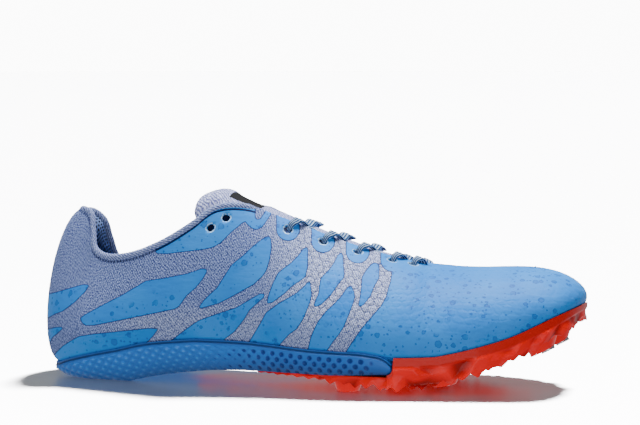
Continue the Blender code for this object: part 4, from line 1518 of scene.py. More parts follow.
@dataclass
class CollarBinding(Piece):
    """The ribbed knit roll along the collar."""

    radius: float = 0.0016
    drop: float = 0.0009
    pitch: float = 0.0011
    end: float = 0.425
    segments: int = 12
    taper: float = 0.006
    stretch: float = 1.25

    def build(self, finish: Material) -> Item:
        """Make the roll, from the lateral eyestay round the heel to the medial one.

        Args:
            finish: Its material.

        Returns:
            The piece.
        """
        last_station = self.last.station_of_top(self.end)
        stations = self.last.even_stations(0.0, last_station, self.pitch, 1.0)
        runs = []
        for side in Side:
            rise = self.last.rise_at(stations, side, np.array([[self.drop]]))
            runs.append(self.last.offset(stations, side, rise, -self.last.wall / 2)[:, 0])
        path = np.concatenate([runs[0][::-1], runs[1][1:]])
        tangent = unit(np.gradient(path, axis=0))
        outward = unit(np.cross(tangent, [0.0, 0.0, 1.0]))
        upward = np.cross(outward, tangent)
        travelled = lengths_along(path)
        to_end = np.minimum(travelled, travelled[-1] - travelled)
        size = self.radius * np.sqrt(np.clip(to_end / self.taper, 0.0, 1.0))[None, :, None]
        turn = np.linspace(0, math.tau, self.segments + 1)[:, None, None]
        round_it = np.cos(turn) * outward[None] + self.stretch * np.sin(turn) * upward[None]
        points = path[None] + size * round_it
        sheet = Sheet(points)
        sheet.carry("patch", np.array(NO_PATCH))
        sheet.lay(travelled[None, :], turn[:, :, 0] * self.radius)
        return self.shop.piece("collar_binding", sheet.build(), (finish,), Slot.KNIT)


@dataclass
class CollarLining(Piece):
    """The padded mesh lining of the heel and ankle, with its two lobes beside the tendon."""

    rows: tuple = (0.42, 0.5, 0.58, 0.68, 0.78, 0.87, 0.93, 0.965, 0.985)
    swell: tuple = (0.02, 0.3, 0.65, 0.95, 1.0, 0.9, 0.65, 0.35, 0.05)
    thickness: float = 0.0052
    reach: float = 6.4
    columns: int = 120
    fine_rows: int = 44
    fullness: float = 1.2
    fade: float = 0.85
    lobes: tuple = (0.72, 0.28, 1.2)
    fill: float = 0.7
    read_column: int = 12

    def build(self, finish: Material) -> Item:
        """Make the pad as one closed swell inside the wall.

        Args:
            finish: Its material.

        Returns:
            The piece.
        """
        half = self.columns // 2
        stations = np.linspace(0.0, self.reach, half + 1)
        position = np.linspace(0, 1, self.fine_rows)
        knots = np.linspace(0, 1, len(self.rows))
        rise = np.interp(position, knots, self.rows)[None, :]
        depth = np.interp(position, knots, self.swell)[None, :]
        depth = np.sin(depth * math.pi / 2) ** self.fullness
        fade = (1 - self.fade * np.clip(stations / self.reach, 0, 1) ** 3)[:, None]
        base, more, run = self.lobes
        lobes = (base + more * np.clip(stations / run, 0, 1))[:, None]
        front = -(self.last.wall + self.last.gap)
        sides = []
        for side in Side:
            full = np.broadcast_to(rise, (len(stations), self.fine_rows))
            outer = self.last.offset(stations, side, full, front)
            inner = self.last.offset(stations, side, full, front - self.thickness * depth * fade * lobes)
            loop = np.concatenate([outer, inner[:, ::-1], outer[:, :1]], axis=1)
            sides.append(loop)
        columns = np.concatenate([sides[0][::-1], sides[1][1:]])
        sheet = Sheet(columns.transpose(1, 0, 2))
        line = columns[:, self.fine_rows]
        along = lengths_along(line)
        middle = columns[len(columns) // 2 + self.read_column]
        up = lengths_along(middle)
        sheet.lay(along[None, :], up[:, None])
        pad = self.shop.piece("collar_lining", sheet.closed(), (finish,), Slot.LINING, ("collar_pad",))
        return pad


@dataclass
class Tongue(Piece):
    """The knitted tongue, curled at its top, with a plain dark patch on its crown."""

    corner: float = 0.004
    thickness: float = 0.0026
    clearance: float = 0.0009
    columns: int = 61
    rows: int = 150
    patch: tuple = (0.355, 0.415, 0.0105)
    arch: float = 0.36
    fold: float = 0.4
    fold_above: Pair = (0.84, 0.12)
    edge_tuck: float = 0.0004
    source_columns: int = 9

    def coarse(self) -> Array:
        """Give the points of the source's own rows, 9 across.

        Returns:
            Points, rows by columns by 3.
        """
        rows = []
        for number, (share, height, width) in enumerate(TONGUE):
            rows.append(self.free_row(share, height, width) if number < TONGUE_FREE_ROWS
                        else self.bound_row(share, height, width))
        return np.array(rows)

    def free_row(self, share: float, height: float, width: float) -> Array:
        """Give the points across the tongue where it stands above the collar.

        Args:
            share: The crown's share of the length.
            height: Its height.
            width: Half width of the row.

        Returns:
            Points, n by 3.
        """
        across = np.linspace(-1, 1, self.source_columns)
        half = width * self.last.width
        fold = ramp(height, *self.fold_above) * abs(across) ** 5
        level = height * self.last.height - half * (self.arch * across * across + self.fold * fold)
        corner = share * self.last.length + self.corner * across ** 4
        return np.stack([corner, half * across, level], axis=-1)

    def bound_row(self, share: float, height: float, width: float) -> Array:
        """Give the points across the tongue where its edges lie under the throat.

        Args:
            share: The crown's share of the length.
            height: Its height.
            width: How far its edges reach below the top edge.

        Returns:
            Points, n by 3.
        """
        station = np.array([self.last.station_of_top(share)])
        tuck = width * self.last.width
        inset = -(self.last.wall + self.clearance)
        edges = {}
        for side in Side:
            rise = self.last.rise_at(station, side, np.array([[tuck, tuck / 2, self.edge_tuck]]))
            edges[side] = self.last.offset(station, side, rise, inset)[0]
        shift = float(self.last.ribs(station).shift[0]) * self.last.width
        crown = np.array([share * self.last.length, shift, height * self.last.height])
        left, right = edges[Side.LATERAL], edges[Side.MEDIAL]
        near = self.between(left[1], left[2], crown, right[2])
        far = self.between(right[1], right[2], crown, left[2])
        return np.array([*left, near, crown, far, *right[::-1]])

    @staticmethod
    def between(before: Array, start: Array, end: Array, after: Array) -> Array:
        """Give the middle of the smooth curve between start and end."""
        return (start + end) / 2 + (start - before + end - after) / 16

    @staticmethod
    def refine(points: Array, count: int, axis: int) -> Array:
        """Run a smooth curve through the points along one axis and read it evenly.

        Args:
            points: Rows by columns by 3.
            count: How many points to read.
            axis: Along rows, 0, or along columns, 1.

        Returns:
            The finer grid.
        """
        points = np.moveaxis(points, axis, 0)
        padded = np.concatenate([[2 * points[0] - points[1]], points, [2 * points[-1] - points[-2]]])
        at = np.linspace(0, len(points) - 1, count)
        whole = np.clip(np.floor(at).astype(int), 0, len(points) - 2)
        part = (at - whole).reshape(-1, 1, 1)
        return np.moveaxis(smooth_curve(padded, whole, part), 0, axis)

    def build(self, finish: Material) -> Item:
        """Make the tongue.

        Args:
            finish: Its material.

        Returns:
            The piece.
        """
        points = self.refine(self.refine(self.coarse(), self.rows, 0), self.columns, 1)
        sheet = Sheet(points)
        start, end, half = self.patch
        along, across = points[..., 0] / self.last.length, points[..., 1]
        inside = np.minimum(np.minimum(along - start, end - along) * self.last.length, half - abs(across))
        sheet.carry("patch", inside / MILLIMETRE)
        crown = points[:, self.columns // 2]
        run = lengths_along(crown)
        sheet.lay(run[:, None], across)
        tongue = self.shop.piece("knit_tongue", sheet.build(), (finish,), Slot.TONGUE, ("tongue",),
                                 lambda point: Vector((0.0, 0.0, 1.0)))
        self.shop.thicken(tongue, self.thickness)
        return tongue


@dataclass
class EyeletShadeSheet(Piece):
    """Dark sheet behind the eyelets, inside both edges of the throat, standing in for the shade there."""

    start: float = 0.326
    end: float = 0.706
    depth: float = 0.015
    inset: float = 0.003
    rows: int = 9
    pitch: float = 0.003
    first_drop: float = 0.0012

    def build(self, finish: Material) -> list[Item]:
        """Make the two strips.

        Args:
            finish: Their material.

        Returns:
            The pieces.
        """
        first, final = self.last.station_of_top(self.start), self.last.station_of_top(self.end)
        stations = self.last.even_stations(first, final, self.pitch, 1.0)
        drop = np.linspace(self.first_drop, self.depth, self.rows)[None, :]
        strips = []
        for side in Side:
            rise = self.last.rise_at(stations, side, drop)
            points = self.last.offset(stations, side, rise, -self.inset)
            name = "gusset_" + side.name.lower()
            strips.append(self.shop.piece(name, Sheet(points).build(), (finish,), Slot.LINING))
        return strips


@dataclass
class Laces(Piece):
    """The flat lace: a bar from each laced eyelet over the tongue, and stretches along the throat."""

    width: float = 0.0054
    thickness: float = 0.0013
    clearance: float = 0.0007
    eyelet_inset: float = 0.004
    lean: float = 0.0045
    gathered: float = 0.42
    rows: int = 49
    lanes: int = 9
    stretches: tuple = ((0.484, 0.547), (0.606, 0.663))
    climb: tuple = (1.2, 1.0, 0.5, 0.0)
    sink: float = 0.0014
    lifts: tuple = (0.4, 0.8, 0.6)
    leans: tuple = (0.0, 0.1, 0.4, 0.7)
    crossings: tuple = (0.25, 0.5, 0.75)
    bar_facing: tuple = (1.0, 0.0, -0.42)
    stretch_ends: Pair = (0.012, 0.008)
    stretch_knots: int = 7
    stretch_arch: float = 0.0012
    stretch_sink: float = 0.0004
    stretch_width: float = 0.6
    stretch_tilt: float = 0.5
    gather_run: float = 3.0
    ridge: float = 0.25

    def path(self, share: float) -> Array:
        """Give the bar's middle line from the lateral eyelet to the medial one.

        Args:
            share: The eyelet's share of the length.

        Returns:
            Points, n by 3.
        """
        station = np.array([self.last.station_of_top(share)])
        lift = self.clearance + self.thickness
        sides = {}
        for side in Side:
            rise = self.last.rise_at(station, side, np.array([self.climb]) * self.eyelet_inset)
            outset = np.array([[-self.last.wall - self.sink, *(lift * part for part in self.lifts)]])
            sides[side] = self.last.offset(station, side, rise, outset)[0]
            sides[side][:, 0] += np.array(self.leans) * self.lean
        near, far = sides[Side.LATERAL][-1], sides[Side.MEDIAL][-1]
        x = share * self.last.length + self.lean
        profile = [row[:2] for row in TONGUE[TONGUE_FREE_ROWS:]]
        crown = self.last.height * float(read_table(profile, np.array([x / self.last.length]))[0])
        crossing = []
        for part in self.crossings:
            y = near[1] + (far[1] - near[1]) * part
            sag = abs(far[1] - near[1]) * 0.5 * Tongue.arch * (2 * part - 1) ** 2
            crossing.append((x, y, crown - sag + lift))
        return np.array([*sides[Side.LATERAL], *crossing, *sides[Side.MEDIAL][::-1]])

    def stretch(self, start: float, end: float, side: Side) -> Array:
        """Give the middle line of a stretch that lies along the throat's edge.

        Args:
            start: Share of the length of the eyelet that it leaves.
            end: Share of the length of the next one.
            side: Which side.

        Returns:
            Points, n by 3.
        """
        first = self.last.station_of_top(start + self.stretch_ends[0])
        final = self.last.station_of_top(end - self.stretch_ends[1])
        stations = np.linspace(first, final, self.stretch_knots)
        rise = np.ones((len(stations), 1))
        points = self.last.offset(stations, side, rise, np.array(-self.last.wall))[:, 0]
        arch = np.sin(np.linspace(0, math.pi, self.stretch_knots))
        points[:, 2] += self.stretch_arch * arch - self.stretch_sink
        return points

    def ribbon(self, knots: Array, facing: Array, width: float) -> Shape:
        """Sweep the lace's flat section along a line.

        Args:
            knots: Points of the line.
            facing: The direction that the section's width leans to.
            width: Width of the ribbon.

        Returns:
            A closed ribbon.
        """
        path = Tongue.refine(knots[:, None, :], self.rows, 0)[:, 0]
        tangent = unit(np.gradient(path, axis=0))
        across = unit(facing - tangent * (tangent @ facing)[:, None])
        up = np.cross(tangent, across)
        lane = np.linspace(-1, 1, self.lanes)
        half = lane * width / 2
        to_end = np.minimum(np.arange(len(path)), np.arange(len(path))[::-1]) / len(path)
        open_out = np.clip(to_end * self.gather_run, 0, 1)
        gather = (self.gathered + (1 - self.gathered) * open_out)[:, None, None]
        ridges = 1 + self.ridge * np.cos(lane * math.tau * 1.5)
        crown = (1 - lane ** 4) * self.thickness / 2 * ridges
        spread = across[:, None] * half[None, :, None] * gather
        top = path[:, None] + spread + up[:, None] * crown[None, :, None]
        low = path[:, None] + spread - up[:, None] * crown[None, :, None]
        sheet = Sheet(np.concatenate([top, low[:, ::-1], top[:, :1]], axis=1))
        run = lengths_along(path)
        sheet.lay(run[:, None], np.concatenate([half, half[::-1], half[:1]])[None, :])
        return sheet.closed()

    def build(self, finish: Material) -> list[Item]:
        """Make the five bars and the stretches between them.

        Args:
            finish: Their material.

        Returns:
            The pieces.
        """
        pieces = []
        for number, share in enumerate(LACED_EYELETS, start=1):
            bm = self.ribbon(self.path(share), np.array(self.bar_facing), self.width)
            pieces.append(self.shop.piece("lace_%d" % number, bm, (finish,), Slot.LACE,
                                          ("lace_bar_%d" % number,)))
        for number, (start, end) in enumerate(self.stretches, start=1):
            for side in Side:
                facing = np.array([0.0, -self.stretch_tilt * side.value, 1.0])
                bm = self.ribbon(self.stretch(start, end, side), facing, self.width * self.stretch_width)
                name = "lace_stretch_%d_%s" % (number, side.name.lower())
                pieces.append(self.shop.piece(name, bm, (finish,), Slot.LACE))
        return pieces


@dataclass
class Insole(Piece):
    """The cloth covered insole."""

    thickness: float = 0.003
    rise: float = 0.001
    columns: int = 31
    pitch: float = 0.0025

    def build(self, finish: Material) -> Item:
        """Make the insole, dished towards its edges.

        Args:
            finish: Its material.

        Returns:
            The piece.
        """
        stations = self.last.even_stations(0.0, self.last.toe, self.pitch, 0.0)
        inset = -(self.last.wall + 2 * self.last.gap)
        edges = [self.last.sole_edge(stations, side, np.array(inset)) for side in Side]
        share = np.linspace(0, 1, self.columns)[None, :, None]
        plan = edges[0][:, None] * (1 - share) + edges[1][:, None] * share
        floor = self.last.feather(plan[..., 0]) + self.last.gap
        dish = self.rise * (2 * share[..., 0] - 1) ** 4
        top, low = plan.copy(), plan.copy()
        top[..., 2] = floor + self.thickness - self.rise + dish
        low[..., 2] = floor
        ring = np.concatenate([top, low[:, ::-1], top[:, :1]], axis=1)
        return self.shop.piece("insole_sheet", Sheet(ring).build(), (finish,), Slot.INSOLE, ("insole",))


@dataclass
class FoamSole(Piece):
    """The blue foam: bumps in rows round its side, flat underneath, round at its front end."""

    front: float = 0.6975
    outset: float = 0.0008
    bulge: float = 0.0016
    tuck: float = 0.001
    top_round: tuple = (0.0095, 0.0055)
    low_round: float = 0.0034
    groove_width: float = 0.0018
    groove_depth: float = 0.0007
    bump_height: float = 0.00095
    stud_row: tuple = (0.00365, 0.00175)
    stud_slant: tuple = (0.00178, -0.00216)
    dimple_pitch: tuple = (0.0054, 0.0027)
    dimple_radius: float = 0.0014
    first_dimple: float = 0.0012
    lift: float = 0.0014
    column_pitch: float = 0.00048
    side_rows: int = 56
    under_rows: int = 24
    crease: float = 80.0
    lid_rows: int = 5
    spine_start: float = 0.03
    plate_from: Pair = (0.53, 0.03)
    flat_front: Pair = (0.008, 0.006)
    end_lift: Pair = (0.58, 0.1)
    dimples_from: Pair = (0.5, 0.22)
    plain_relief: float = 0.15
    carried: tuple = ("relief", "groove", "low", "under")

    def levels(self, x: Array) -> tuple[Array, Array]:
        """Give the top and the bottom of the foam's side at x, rounded at the front end.

        Args:
            x: Distances from the heel.

        Returns:
            Both heights.
        """
        end = self.front * self.last.length
        run, drop = self.top_round
        top_part = ramp(x, end - run, run)
        top = self.last.feather(x) - drop * (1 - np.sqrt(1 - top_part ** 2))
        low_part = ramp(x, end - self.low_round, self.low_round)
        step = self.lift * ramp(x / self.last.length, *self.end_lift)
        low = self.last.underside(x) + step + self.low_round * (1 - np.sqrt(1 - low_part ** 2))
        return top, low

    def relief(self, along: Array, down: Array, share: Array) -> Array:
        """Give the bumps' height, from -1 to 1.

        Args:
            along: Distance round the sole from the heel.
            down: Distance below the groove.
            share: From 0 at the heel to 1 at the front end.

        Returns:
            Heights at each point, below 0 in the round dimples of the front.
        """
        (row_along, row_down), (slant_along, slant_down) = self.stud_row, self.stud_slant
        area = row_along * slant_down - slant_along * row_down
        across = ((along * slant_down - down * slant_along) / area) % 1.0 - 0.5
        tall = ((down * row_along - along * row_down) / area) % 1.0 - 0.5
        pyramid = 1 - 2 * np.maximum(abs(across), abs(tall))
        row = (down - self.first_dimple) / self.dimple_pitch[1]
        nearest = np.round(row)
        column = along / self.dimple_pitch[0] + 0.5 * (nearest % 2)
        to_middle = np.hypot((column - np.round(column)) * self.dimple_pitch[0],
                             (row - nearest) * self.dimple_pitch[1])
        dimple = np.clip(1.3 * (1 - to_middle / self.dimple_radius), 0, 1)
        hollow = ramp(share, *self.dimples_from)
        return pyramid * (1 - hollow) - dimple * hollow

    def build(self, finish: Material) -> Item:
        """Make the foam.

        Args:
            finish: Its material.

        Returns:
            The piece.
        """
        end = self.last.station_of_foot(self.front * self.last.length - 3 * self.last.gap)
        stations = self.last.even_stations(0.0, end, self.column_pitch, 0.0)
        (lateral, lateral_numbers), (medial, medial_numbers) = (self.half(stations, side) for side in Side)
        sheet = Sheet(np.concatenate([lateral[:, ::-1], medial[:, 1:]], axis=1))
        for name in self.carried:
            values = [lateral_numbers[name][:, ::-1], medial_numbers[name][:, 1:]]
            sheet.carry(name, np.concatenate(values, axis=1))
        return self.shop.piece("foam_body", sheet.closed(), (finish,), Slot.FOAM, ("foam_sole",),
                               crease=self.crease)

    def half(self, stations: Array, side: Side) -> tuple[Array, dict[str, Array]]:
        """Make one side's points, rows by columns: top, groove, side, then underneath.

        Args:
            stations: Stations along the side.
            side: Which side.

        Returns:
            The points, and their numbers by name.
        """
        plan, outward = self.last.outline(stations, side)
        top, low = self.levels(plan[:, 0])
        height = top - low
        along = lengths_along(plan)[None, :]
        share = along / along[0, -1]
        part = np.linspace(0, 1, self.side_rows)[:, None]
        down = part * height[None, :]
        swell = self.outset + 4 * (self.bulge - self.outset) * part * (1 - part)
        swell = swell - (self.tuck + self.outset) * part ** 4
        closing = np.sqrt(np.clip(height / (top - self.last.underside(plan[:, 0]) + 1e-6), 0, 1))[None, :]
        in_groove = np.clip(1 - abs(down - self.groove_width * 0.6) / (self.groove_width * 0.5), 0, 1)
        bumps = self.relief(along, down - self.groove_width * 1.6, share)
        bumps = bumps * np.clip((down - self.groove_width * 1.4) / 0.0006, 0, 1)
        bumps = bumps * np.clip((height[None, :] - down) / 0.0008 + 0.6, 0, 1)
        bumps = bumps * ramp((1 - share) * along[0, -1], *self.flat_front)
        out = swell * closing + bumps * self.bump_height - in_groove * self.groove_depth
        side_points = plan[None] + outward[None] * out[..., None]
        side_points[..., 2] = top[None, :] - down
        shared = sum(self.last.outline(stations, each)[0][:, 0] for each in Side) / 2
        run = (shared[-1] - self.spine_start) / (shared[-1] - shared[0])
        spine_x = self.spine_start + (shared - shared[0]) * run
        spine = level_points(spine_x, np.zeros_like(spine_x))
        inward = np.linspace(0, 1, self.under_rows + 1)[1:, None, None]
        edge = side_points[-1]
        under = edge[None] * (1 - inward) + spine[None] * inward
        under[..., 2] = self.last.underside(under[..., 0])
        under[..., 2] += (edge[:, 2] - self.last.underside(edge[:, 0]))[None, :] * (1 - inward[..., 0])
        over_plate = ramp(under[..., 0] / self.last.length, *self.plate_from)
        under[..., 2] += self.lift * 1.3 * over_plate * np.clip(inward[..., 0] * 8, 0, 1)
        inner = np.linspace(1, 0, self.lid_rows + 1)[:, None, None]
        lid = side_points[0][None] * (1 - inner) + spine[None] * inner
        lid[..., 2] = top[None, :] - self.last.gap
        points = np.concatenate([lid[:-1], side_points, under])
        on_side = slice(self.lid_rows, self.lid_rows + self.side_rows)
        numbers = {name: np.zeros(points.shape[:2]) for name in self.carried}
        numbers["relief"][:] = self.plain_relief
        # Relief places the painted highlight on the peaks and the painted shade in the valleys and dimples
        numbers["relief"][on_side] = bumps
        # Groove places the painted shade in the groove
        numbers["groove"][on_side] = np.clip(in_groove * 1.3, 0, 1)
        # Low places the painted shade towards the bottom of the side
        numbers["low"][on_side] = ramp(part, 0.35, 0.65) ** 1.6 * 0.7
        # Under places the studs' painted highlight on the underside
        numbers["under"][on_side.stop:] = 1.0
        return points, numbers


@dataclass
class SpikePlate(Piece):
    """The plate: a smooth rim round the forefoot, a toothed edge, and a tread of hexagons below."""

    foam: FoamSole
    tail_start: float = 0.289
    rim_outset: float = 0.0008
    thickness: float = 0.0024
    smooth_height: float = 0.0042
    tooth_pitch: float = 0.0062
    tooth_height: float = 0.0048
    facet_depth: float = 0.0016
    facet_size: tuple = (0.0068, 0.0044)
    column_pitch: float = 0.00065
    rim_rows: int = 24
    under_rows: int = 52
    boss_height: float = 0.007
    boss_tip: float = 0.0055
    boss_foot: float = 0.00825
    bore: float = 0.0036
    bore_depth: float = 0.0044
    pocket_depth: float = 0.0009
    cell: float = 0.0118
    crease: float = 28.0
    ridge_height: float = 0.0008
    facet_height: float = 0.0011
    pocket_edge: float = 0.0007
    border: Pair = (0.0006, 0.0009)
    bore_edge: float = 0.0004
    foot_edge: float = 0.001
    tooth_seed: int = 7
    tooth_stray: float = 0.22
    tooth_sizes: Pair = (0.65, 1.1)
    facet_seed: int = 11
    spine_bend: float = 0.19
    spine_end: float = 0.9
    spine_straight: Pair = (0.2, -0.06)
    lid_rows: int = 3
    fringe: float = 0.0045

    def stations(self) -> tuple[Array, Array]:
        """List the x of the tail's columns and the stations of the forefoot's.

        Returns:
            Both lists.
        """
        start = self.tail_start * self.last.length
        end = (self.foam.front * self.last.length) - self.foam.low_round
        count = int((end - start) / self.column_pitch)
        tail = start + (end - start) * np.linspace(0, 1, count) ** 1.15
        front = self.last.even_stations(self.last.station_of_foot(end), self.last.toe, self.column_pitch, 0.0)
        return tail, front[1:]

    def edge(self, side: Side) -> tuple[Array, Array, Array, Array]:
        """Give the plan of the plate's edge, its outward direction, and its rim's top and bottom.

        Args:
            side: Which side.

        Returns:
            The plan, the directions and both heights.
        """
        tail, front = self.stations()
        table = TAIL_LATERAL if side is Side.LATERAL else TAIL_MEDIAL
        across = side.value * self.last.width * read_table(table, tail / self.last.length)
        tail_plan = level_points(tail, across)
        slope = np.gradient(across, tail)
        tail_out = unit(level_points(-slope, np.full_like(tail, side.value)))
        front_plan, front_out = self.last.outline(front, side)
        front_plan = front_plan + front_out * self.rim_outset
        plan = np.concatenate([tail_plan, front_plan])
        out = np.concatenate([tail_out, front_out])
        bottom = self.last.underside(plan[:, 0])
        _, foam_low = self.foam.levels(front_plan[:, 0])
        foam_end = self.foam.front * self.last.length
        feather = self.last.feather(front_plan[:, 0])
        rim = np.where(front_plan[:, 0] < foam_end, np.minimum(foam_low, feather), feather)
        tail_top = self.last.underside(tail) + 0.0001
        top = np.concatenate([tail_top, rim])
        return plan, out, top, bottom

    def teeth(self, travelled: Array, x: Array) -> Array:
        """Give how far the edge's teeth reach below the tread along the edge.

        Args:
            travelled: Distance round the edge.
            x: Distance from the heel.

        Returns:
            The reach at each point.
        """
        rng = np.random.default_rng(self.tooth_seed)
        count = int(travelled[-1] / self.tooth_pitch) + 3
        share = x / self.last.length
        size = read_table(TEETH, share)
        stray = rng.uniform(-self.tooth_stray, self.tooth_stray, count)
        where = (np.arange(count) + stray) * self.tooth_pitch
        tall = rng.uniform(*self.tooth_sizes, count)
        reach = np.zeros_like(travelled)
        for middle, height in zip(where, tall):
            lean = np.where(travelled < middle, 0.75, 0.95) * self.tooth_pitch
            reach = np.maximum(reach, height * (1 - abs(travelled - middle) / lean))
        return self.tooth_height * size * (0.3 + 0.75 * np.clip(reach, 0.0, 1.2))

    def facets(self, along: Array, down: Array) -> Array:
        """Give the outward relief of the rim's flat facets.

        Args:
            along: Distance round the edge, 1 by n.
            down: Distance below the smooth band, m by n.

        Returns:
            Outward distances, m by n.
        """
        rng = np.random.default_rng(self.facet_seed)
        heights = rng.uniform(-1.0, 1.0, (8, 160)) * self.facet_depth
        row = np.clip(down / self.facet_size[1], 0, 6.99)
        column = np.broadcast_to(along / self.facet_size[0], row.shape) - 0.5 * row + 8
        whole_row, whole_column = np.floor(row).astype(int), np.floor(column).astype(int)
        r, c = row - whole_row, column - whole_column
        corner = heights[whole_row, whole_column]
        ahead = heights[whole_row, whole_column + 1]
        beneath = heights[whole_row + 1, whole_column]
        last = heights[whole_row + 1, whole_column + 1]
        near = corner + (ahead - corner) * c + (beneath - corner) * r
        far = last + (beneath - last) * (1 - c) + (ahead - last) * (1 - r)
        return np.where(r + c < 1, near, far)

    def tread(self, x: Array, y: Array) -> tuple[Array, Array, Array]:
        """Give the tread's relief.

        Args:
            x: Distance from the heel.
            y: Distance to the medial side.

        Returns:
            Depth below the underside, how hollow a point is and how near to a ridge, 0 to 1.
        """
        cell = np.array([self.cell, self.cell * math.sqrt(3)])
        place = np.stack([y, x], axis=-1)
        first = (place / cell) % 1.0 - 0.5
        second = (place / cell + 0.5) % 1.0 - 0.5
        first, second = first * cell, second * cell
        closer = (np.linalg.norm(first, axis=-1) < np.linalg.norm(second, axis=-1))[..., None]
        offset = abs(np.where(closer, first, second))
        reach = np.maximum(offset[..., 0], offset[..., 0] / 2 + offset[..., 1] * HEX_SLANT)
        to_side = self.cell / 2 - reach
        ridge = np.clip(1 - to_side / self.ridge_height, 0, 1)
        facet = np.clip(to_side / (self.cell / 2), 0, 1)
        depth = self.ridge_height * ridge + self.facet_height * facet
        hollow = np.zeros_like(x)
        for along, across, size in POCKETS:
            dx, dy = abs(x - along * self.last.length), abs(y - across * self.last.width)
            radius = size * self.last.width / 2
            away = np.maximum(dy, dy / 2 + dx * HEX_SLANT) / HEX_SLANT
            inside = np.clip((radius - away) / self.pocket_edge, 0, 1)
            out, spread = self.border
            border = np.clip(1 - abs(away - radius - out) / spread, 0, 1)
            depth = np.where(inside > 0, depth * (1 - inside) - self.pocket_depth * inside, depth)
            depth = np.maximum(depth, border * self.facet_height)
            hollow = np.maximum(hollow, inside)
            ridge = np.maximum(ridge * (1 - inside), border)
        for number, (along, across) in enumerate(SOCKETS):
            centre = np.array([along * self.last.length, across * self.last.width])
            away = np.hypot(x - centre[0], y - centre[1])
            tall = self.boss_height
            if number < STANDING_SOCKETS:
                tall = float(self.last.underside(np.array([centre[0]]))[0])
            slope = np.clip((self.boss_foot - away) / (self.boss_foot - self.boss_tip), 0, 1)
            depth = np.maximum(depth, slope * tall)
            near = np.clip((self.boss_foot + self.foot_edge - away) / self.foot_edge, 0, 1)
            bore = np.clip((self.bore - away) / self.bore_edge, 0, 1)
            depth = depth * (1 - bore) + (tall - self.bore_depth) * bore
            hollow, ridge = np.maximum(hollow * (1 - near), bore), ridge * (1 - near)
        return depth, hollow, ridge

    def half(self, side: Side) -> tuple[Array, dict[str, Array]]:
        """Make one side's points: lid, rim, teeth, then the tread in to the spine.

        Args:
            side: Which side.

        Returns:
            The points, and their numbers by name.
        """
        plan, out, top, bottom = self.edge(side)
        travelled = lengths_along(plan)
        teeth = self.teeth(travelled, plan[:, 0])
        part = np.linspace(0, 1, self.rim_rows)[:, None]
        low = bottom - teeth
        height = (top - low)[None, :]
        down = part * height
        smooth_end = np.clip((top - bottom) * 0.62, 0.0, self.smooth_height)[None, :]
        beyond = np.clip((down - smooth_end) / 0.004, 0, 1.4)
        facet = self.facets(travelled[None, :], down - smooth_end) * np.clip(beyond * 3, 0, 1)
        draw = facet - 0.0003 * beyond
        rim = plan[None] + out[None] * draw[..., None]
        rim[..., 2] = top[None, :] - down
        shared = sum(self.edge(each)[0][:, 0] for each in Side) / 2
        bend = self.spine_bend
        share = (self.last.length * self.spine_end - bend) / (shared[-1] - bend)
        spine_x = np.where(shared < bend, shared, bend + (shared - bend) * share)
        middle_l = read_table(TAIL_LATERAL, spine_x / self.last.length)
        middle_m = read_table(TAIL_MEDIAL, spine_x / self.last.length)
        spine_y = (middle_m - middle_l) / 2 * self.last.width * ramp(spine_x, *self.spine_straight)
        spine = level_points(spine_x, spine_y)
        inward = (np.linspace(0, 1, self.under_rows + 1)[1:] ** 1.05)[:, None, None]
        edge = rim[-1]
        under = edge[None] * (1 - inward) + spine[None] * inward
        depth, hollow, ridge = self.tread(under[..., 0], under[..., 1])
        distance = np.linalg.norm(under[..., :2] - edge[None, :, :2], axis=-1)
        rise = np.clip(distance / self.fringe, 0, 1)
        fringe = teeth[None, :] * (1 - rise)
        under[..., 2] = self.last.underside(under[..., 0]) - np.maximum(depth * rise, fringe)
        lid_part = np.linspace(1, 0, self.lid_rows + 1)[:, None, None]
        lid = rim[0][None] * (1 - lid_part) + spine[None] * lid_part
        lid[..., 2] = np.minimum(top[None, :], self.last.underside(lid[..., 0]) + self.thickness)
        points = np.concatenate([lid[:-1], rim, under])
        empty = np.zeros((self.lid_rows, len(plan)))
        smooth = np.clip(1 - (down - smooth_end) / 0.0008, 0, 1)
        numbers = {
            "smooth": np.concatenate([empty, smooth, np.zeros_like(depth)]),
            # Hollow places the painted shade in the rim's recessed facets, the pockets and the bores
            "hollow": np.concatenate([empty, np.clip(-facet / self.facet_depth, 0, 0.7), hollow]),
            "ridge": np.concatenate([empty, np.zeros_like(down), ridge * rise]),
        }
        return points, numbers

    def build(self, finish: Material) -> Item:
        """Make the plate.

        Args:
            finish: Its material.

        Returns:
            The piece.
        """
        (lateral, lateral_numbers), (medial, medial_numbers) = (self.half(side) for side in Side)
        sheet = Sheet(np.concatenate([lateral, medial[:, ::-1]], axis=1))
        for name, values in lateral_numbers.items():
            sheet.carry(name, np.concatenate([values, medial_numbers[name][:, ::-1]], axis=1))
        return self.shop.piece("plate_tread", sheet.closed(), (finish,), Slot.PLATE, ("spike_plate",),
                               crease=self.crease)


class Lights(Enum):
    """What a lamp does with the one piece that its rule names."""

    ONLY = "INCLUDE"
    ALL_BUT = "EXCLUDE"


class Lamp(NamedTuple):
    """A soft square lamp over the shoe, with its side and its watts."""

    name: str
    place: Triple
    aim: Triple
    size: float
    energy: float


